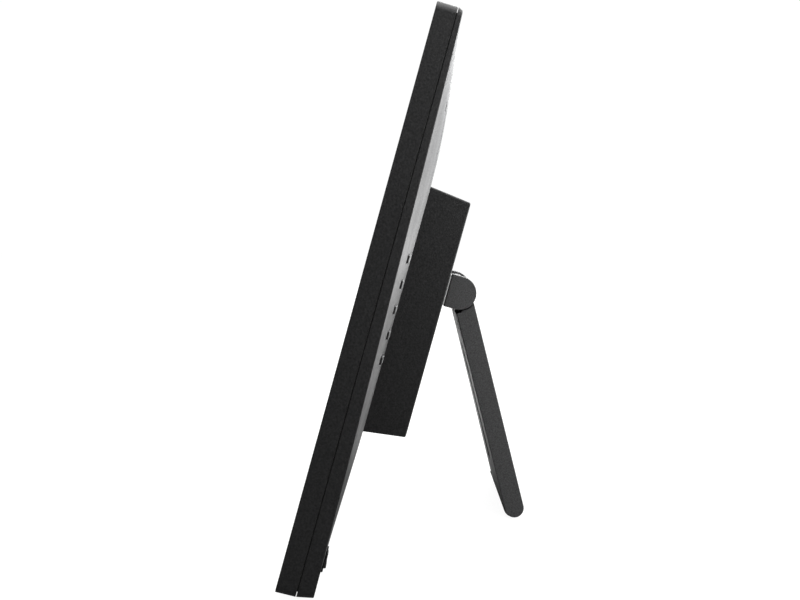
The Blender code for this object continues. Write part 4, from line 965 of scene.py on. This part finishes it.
polariser = grained("anti-glare polariser", (0.006, 0.0064, 0.0072), (0.0085, 0.009, 0.0098), 0.3,
                    grain=0.12, depth=0.004, gloss=0.5, spread=0.02)
finish_node("lcd_glass", polariser)
blacked_tin = metal("blacked tinplate", (0.02, 0.02, 0.021), (0.032, 0.032, 0.033), 0.5, 0.3, 0.6)
finish_node("panel_frame", blacked_tin)
tinplate = metal("zinc-plated sheet", (0.42, 0.43, 0.44), (0.56, 0.57, 0.58), 0.38, 0.6)
for node in ("panel_tray", "panel_bracket_left", "panel_bracket_right"):
    finish_node(node, tinplate)
light_film = grained("light film", (0.78, 0.79, 0.77), (0.86, 0.87, 0.85), 0.45, grain=0.25, depth=0.006)
for node in ("diffuser_film", "light_guide", "light_bar"):
    finish_node(node, light_film)

# ------------------------------------------------------------------ boards
# Green solder mask over etched copper, with pads showing through. The main board carries a finned
# aluminium heat sink and a coin cell; flat cables with bright conductors run from it.


def board_paint(name, track):
    """Solder mask over copper tracks that turn square corners, a track pitch in millimetres apart."""
    material = grained(name, (0.010, 0.065, 0.03), (0.014, 0.09, 0.04), 0.32,
                       grain=0.4, depth=0.004, gloss=0.5)
    nodes = material.node_tree.nodes
    links = material.node_tree.links
    shader = nodes["Principled BSDF"]
    mask = shader.inputs["Base Color"].links[0].from_socket
    where = nodes.new("ShaderNodeTexCoord")
    routes = nodes.new("ShaderNodeTexVoronoi")
    routes.distance = "CHEBYCHEV"
    routes.feature = "F1"
    routes.inputs["Scale"].default_value = 1 / (track * MM)
    links.new(where.outputs["Object"], routes.inputs["Vector"])
    edge = nodes.new("ShaderNodeValToRGB")
    edge.color_ramp.interpolation = "CONSTANT"
    edge.color_ramp.elements[0].color = (0.45, 0.42, 0.36, 1)
    edge.color_ramp.elements[1].position = 0.1
    edge.color_ramp.elements[1].color = (0, 0, 0, 1)
    copper = edge.color_ramp.elements.new(0.42)
    copper.color = (0.012, 0.12, 0.05, 1)
    links.new(routes.outputs["Distance"], edge.inputs["Fac"])
    paint = nodes.new("ShaderNodeMix")
    paint.data_type = "RGBA"
    paint.blend_type = "LIGHTEN"
    paint.inputs["Factor"].default_value = 1
    links.new(mask, paint.inputs["A"])
    links.new(edge.outputs["Color"], paint.inputs["B"])
    links.new(paint.outputs["Result"], shader.inputs["Base Color"])
    return material


solder_mask = board_paint("solder mask", 2.4)
for node in ("main_board", "button_board", "panel_driver_board"):
    finish_node(node, solder_mask)

cast_alloy = metal("anodised aluminium", (0.3, 0.3, 0.31), (0.42, 0.42, 0.43), 0.42, 0.5)
low, high = drawn("processor_heatsink")
heatsink = place("heatsink_block", slab(low, high, 0.3 * MM, "xyz", 2), cast_alloy)
FIN_PITCH = 3.3 * MM
FIN_GAP = 2.0 * MM
FIN_BASE = 1.8 * MM
gaps = []
for index in range(8):
    x = low.x + FIN_PITCH * (index + 1) + 0.15 * MM
    gaps.append(slab((x - FIN_GAP / 2, low.y + FIN_BASE, low.z - 2 * MM),
                     (x + FIN_GAP / 2, high.y + 2 * MM, high.z + 2 * MM)))
carve(heatsink, gaps)
belongs(heatsink, "frame", "cast_alloy", "processor_heatsink")

low, high = drawn("clock_battery")
middle = (low + high) / 2
cell_radius = (high.x - low.x) / 2
cell = place("clock_battery_cell", bar(middle, "y", cell_radius, high.y - low.y, 64, 0.4 * MM),
             bright_steel)
carve(cell, [bar((middle.x, high.y, middle.z), "y", cell_radius - 0.5 * MM, 0.3 * MM, 64,
                 end_radius=cell_radius - 0.9 * MM)])
belongs(cell, "frame", "pressed_steel", "clock_battery")


def ribbon_paint():
    """Flat cable: close conductors laminated between white films."""
    material = grained("flat cable", (0.55, 0.55, 0.53), (0.7, 0.7, 0.68), 0.35,
                       grain=0.3, depth=0.004, gloss=0.5)
    nodes = material.node_tree.nodes
    links = material.node_tree.links
    shader = nodes["Principled BSDF"]
    film = shader.inputs["Base Color"].links[0].from_socket
    where = nodes.new("ShaderNodeTexCoord")
    stripes = nodes.new("ShaderNodeTexWave")
    stripes.bands_direction = "X"
    stripes.inputs["Scale"].default_value = 300
    links.new(where.outputs["Object"], stripes.inputs["Vector"])
    wires = nodes.new("ShaderNodeMix")
    wires.data_type = "RGBA"
    wires.blend_type = "MULTIPLY"
    wires.inputs["Factor"].default_value = 0.5
    links.new(film, wires.inputs["A"])
    links.new(stripes.outputs["Color"], wires.inputs["B"])
    links.new(wires.outputs["Result"], shader.inputs["Base Color"])
    return material


flat_cable = ribbon_paint()
for node in ("screen_cable", "button_cable"):
    finish_node(node, flat_cable)

# ------------------------------------------------------------------ sockets
# Black moulded sockets soldered along the board's edge. The power inlet has a centre pin, the memory
# sockets a tongue or a row of spring contacts, and the headphone jack a bright ring.
socket_plastic = grained("socket plastic", (0.010, 0.010, 0.010), (0.018, 0.018, 0.018), 0.4,
                         grain=0.35, depth=0.015)
gold = metal("gilt contacts", (0.5, 0.36, 0.13), (0.66, 0.5, 0.2), 0.3, 0.25)
SOCKET_BACK = 3.0 * MM


def socket_shell(node):
    """A socket's body with rounded edges and its mouth bored or cut in from the left."""
    low, high = drawn(node)
    middle = (low + high) / 2
    deep, tall = SOCKET_MOUTHS[node]
    shell = place(node + "_body", slab(low, high, 0.25 * MM, "xyz", 2), socket_plastic)
    depth = high.x - SOCKET_BACK - low.x
    if deep == tall:
        mouth = bar((low.x, middle.y, middle.z), "x", deep / 2 * MM, 2 * depth, 48)
    else:
        half_deep = deep / 2 * MM
        half_tall = tall / 2 * MM
        mouth = slab((low.x - depth, middle.y - half_deep, middle.z - half_tall),
                     (low.x + depth, middle.y + half_deep, middle.z + half_tall), 0.3 * MM, "x", 2)
    carve(shell, [mouth])
    belongs(shell, "frame", "connector_plastic", node)
    return low, middle, depth


low, middle, depth = socket_shell("dc_inlet")
PIN_LENGTH = 7.4 * MM
pin_middle = (low.x + depth - 3.6 * MM, middle.y, middle.z)
pin = place("dc_inlet_pin", bar(pin_middle, "x", 1.0 * MM, PIN_LENGTH, 32, 0.35 * MM), bright_steel)
belongs(pin, "frame", "pressed_steel")

low, middle, depth = socket_shell("audio_jack")
COLLAR_LENGTH = 0.9 * MM
collar_middle = (low.x + 0.5 * MM, middle.y, middle.z)
collar = place("audio_jack_collar", bar(collar_middle, "x", 2.15 * MM, COLLAR_LENGTH, 48, 0.15 * MM),
               bright_steel)
carve(collar, [bar(middle, "x", 1.8 * MM, 30 * MM, 32)])
belongs(collar, "frame", "pressed_steel")

low, middle, depth = socket_shell("usb_port")
tongue = place("usb_port_tongue", slab((low.x + 0.6 * MM, middle.y - 1.9 * MM, middle.z - 5.6 * MM),
                                       (low.x + depth + 0.2 * MM, middle.y - 0.3 * MM, middle.z + 5.6 * MM),
                                       0.2 * MM, "xyz", 2), socket_plastic)
belongs(tongue, "frame", "connector_plastic")
CONTACT_PITCH = 2.5 * MM
for index in range(4):
    z = middle.z + (index - 1.5) * CONTACT_PITCH
    contact = place(f"usb_port_contact_{index + 1}",
                    slab((low.x + 1.2 * MM, middle.y - 0.35 * MM, z - 0.55 * MM),
                         (low.x + depth, middle.y - 0.15 * MM, z + 0.55 * MM), 0.06 * MM, "x", 2), gold)
    belongs(contact, "frame", "pressed_steel")

low, middle, depth = socket_shell("card_slot")
for index in range(9):
    z = middle.z + (index - 4) * CONTACT_PITCH
    contact = place(f"card_slot_contact_{index + 1}",
                    slab((low.x + 3.5 * MM, middle.y - 1.35 * MM, z - 0.4 * MM),
                         (low.x + depth, middle.y - 1.0 * MM, z + 0.4 * MM), 0.08 * MM, "x", 2), gold)
    belongs(contact, "frame", "pressed_steel")

# ------------------------------------------------------------------ loudspeakers
# Two slim drivers that face down through the slots: a round-cornered moulded frame, and a black
# paper cone with a rolled surround and a dust cap.
cone_paper = grained("cone paper", (0.012, 0.011, 0.010), (0.026, 0.024, 0.022), 0.8,
                     grain=0.6, depth=0.06, gloss=0.15)
CONE_RADIUS = 6.5 * MM
CONE_DEPTH = 1.2 * MM
CONE_PROFILE = [(0, 0.35), (1.6, 0.5), (2.0, 0.9), (4.8, 0.3), (5.3, 0.15), (5.8, 0.25), (6.3, 0.9)]
for side in ("left", "right"):
    low, high = drawn(f"speaker_{side}")
    middle = (low + high) / 2
    basket = slab(low, high, 4.0 * MM, "z", 8)
    soften_caps(basket, 0.4 * MM)
    driver = place(f"speaker_{side}_basket", basket, socket_plastic)
    carve(driver, [bar((middle.x, middle.y, low.z), "z", CONE_RADIUS, 2 * CONE_DEPTH, 64)])
    belongs(driver, "frame", "speaker_body", f"speaker_{side}")
    bm = bmesh.new()
    verts = [bm.verts.new((radius * MM, 0, up * MM)) for radius, up in CONE_PROFILE]
    edges = [bm.edges.new(pair) for pair in zip(verts, verts[1:])]
    bmesh.ops.spin(bm, geom=verts + edges, cent=(0, 0, 0), axis=(0, 0, 1), angle=2 * math.pi, steps=48,
                   use_merge=True)
    bmesh.ops.remove_doubles(bm, verts=bm.verts, dist=0.005 * MM)
    bmesh.ops.solidify(bm, geom=bm.faces[:], thickness=0.15 * MM)
    bmesh.ops.translate(bm, vec=(middle.x, middle.y, low.z), verts=bm.verts)
    cone = place(f"speaker_{side}_cone", bm, cone_paper)
    belongs(cone, "frame", "speaker_body")

finish_node("hinge_pin", bright_steel)
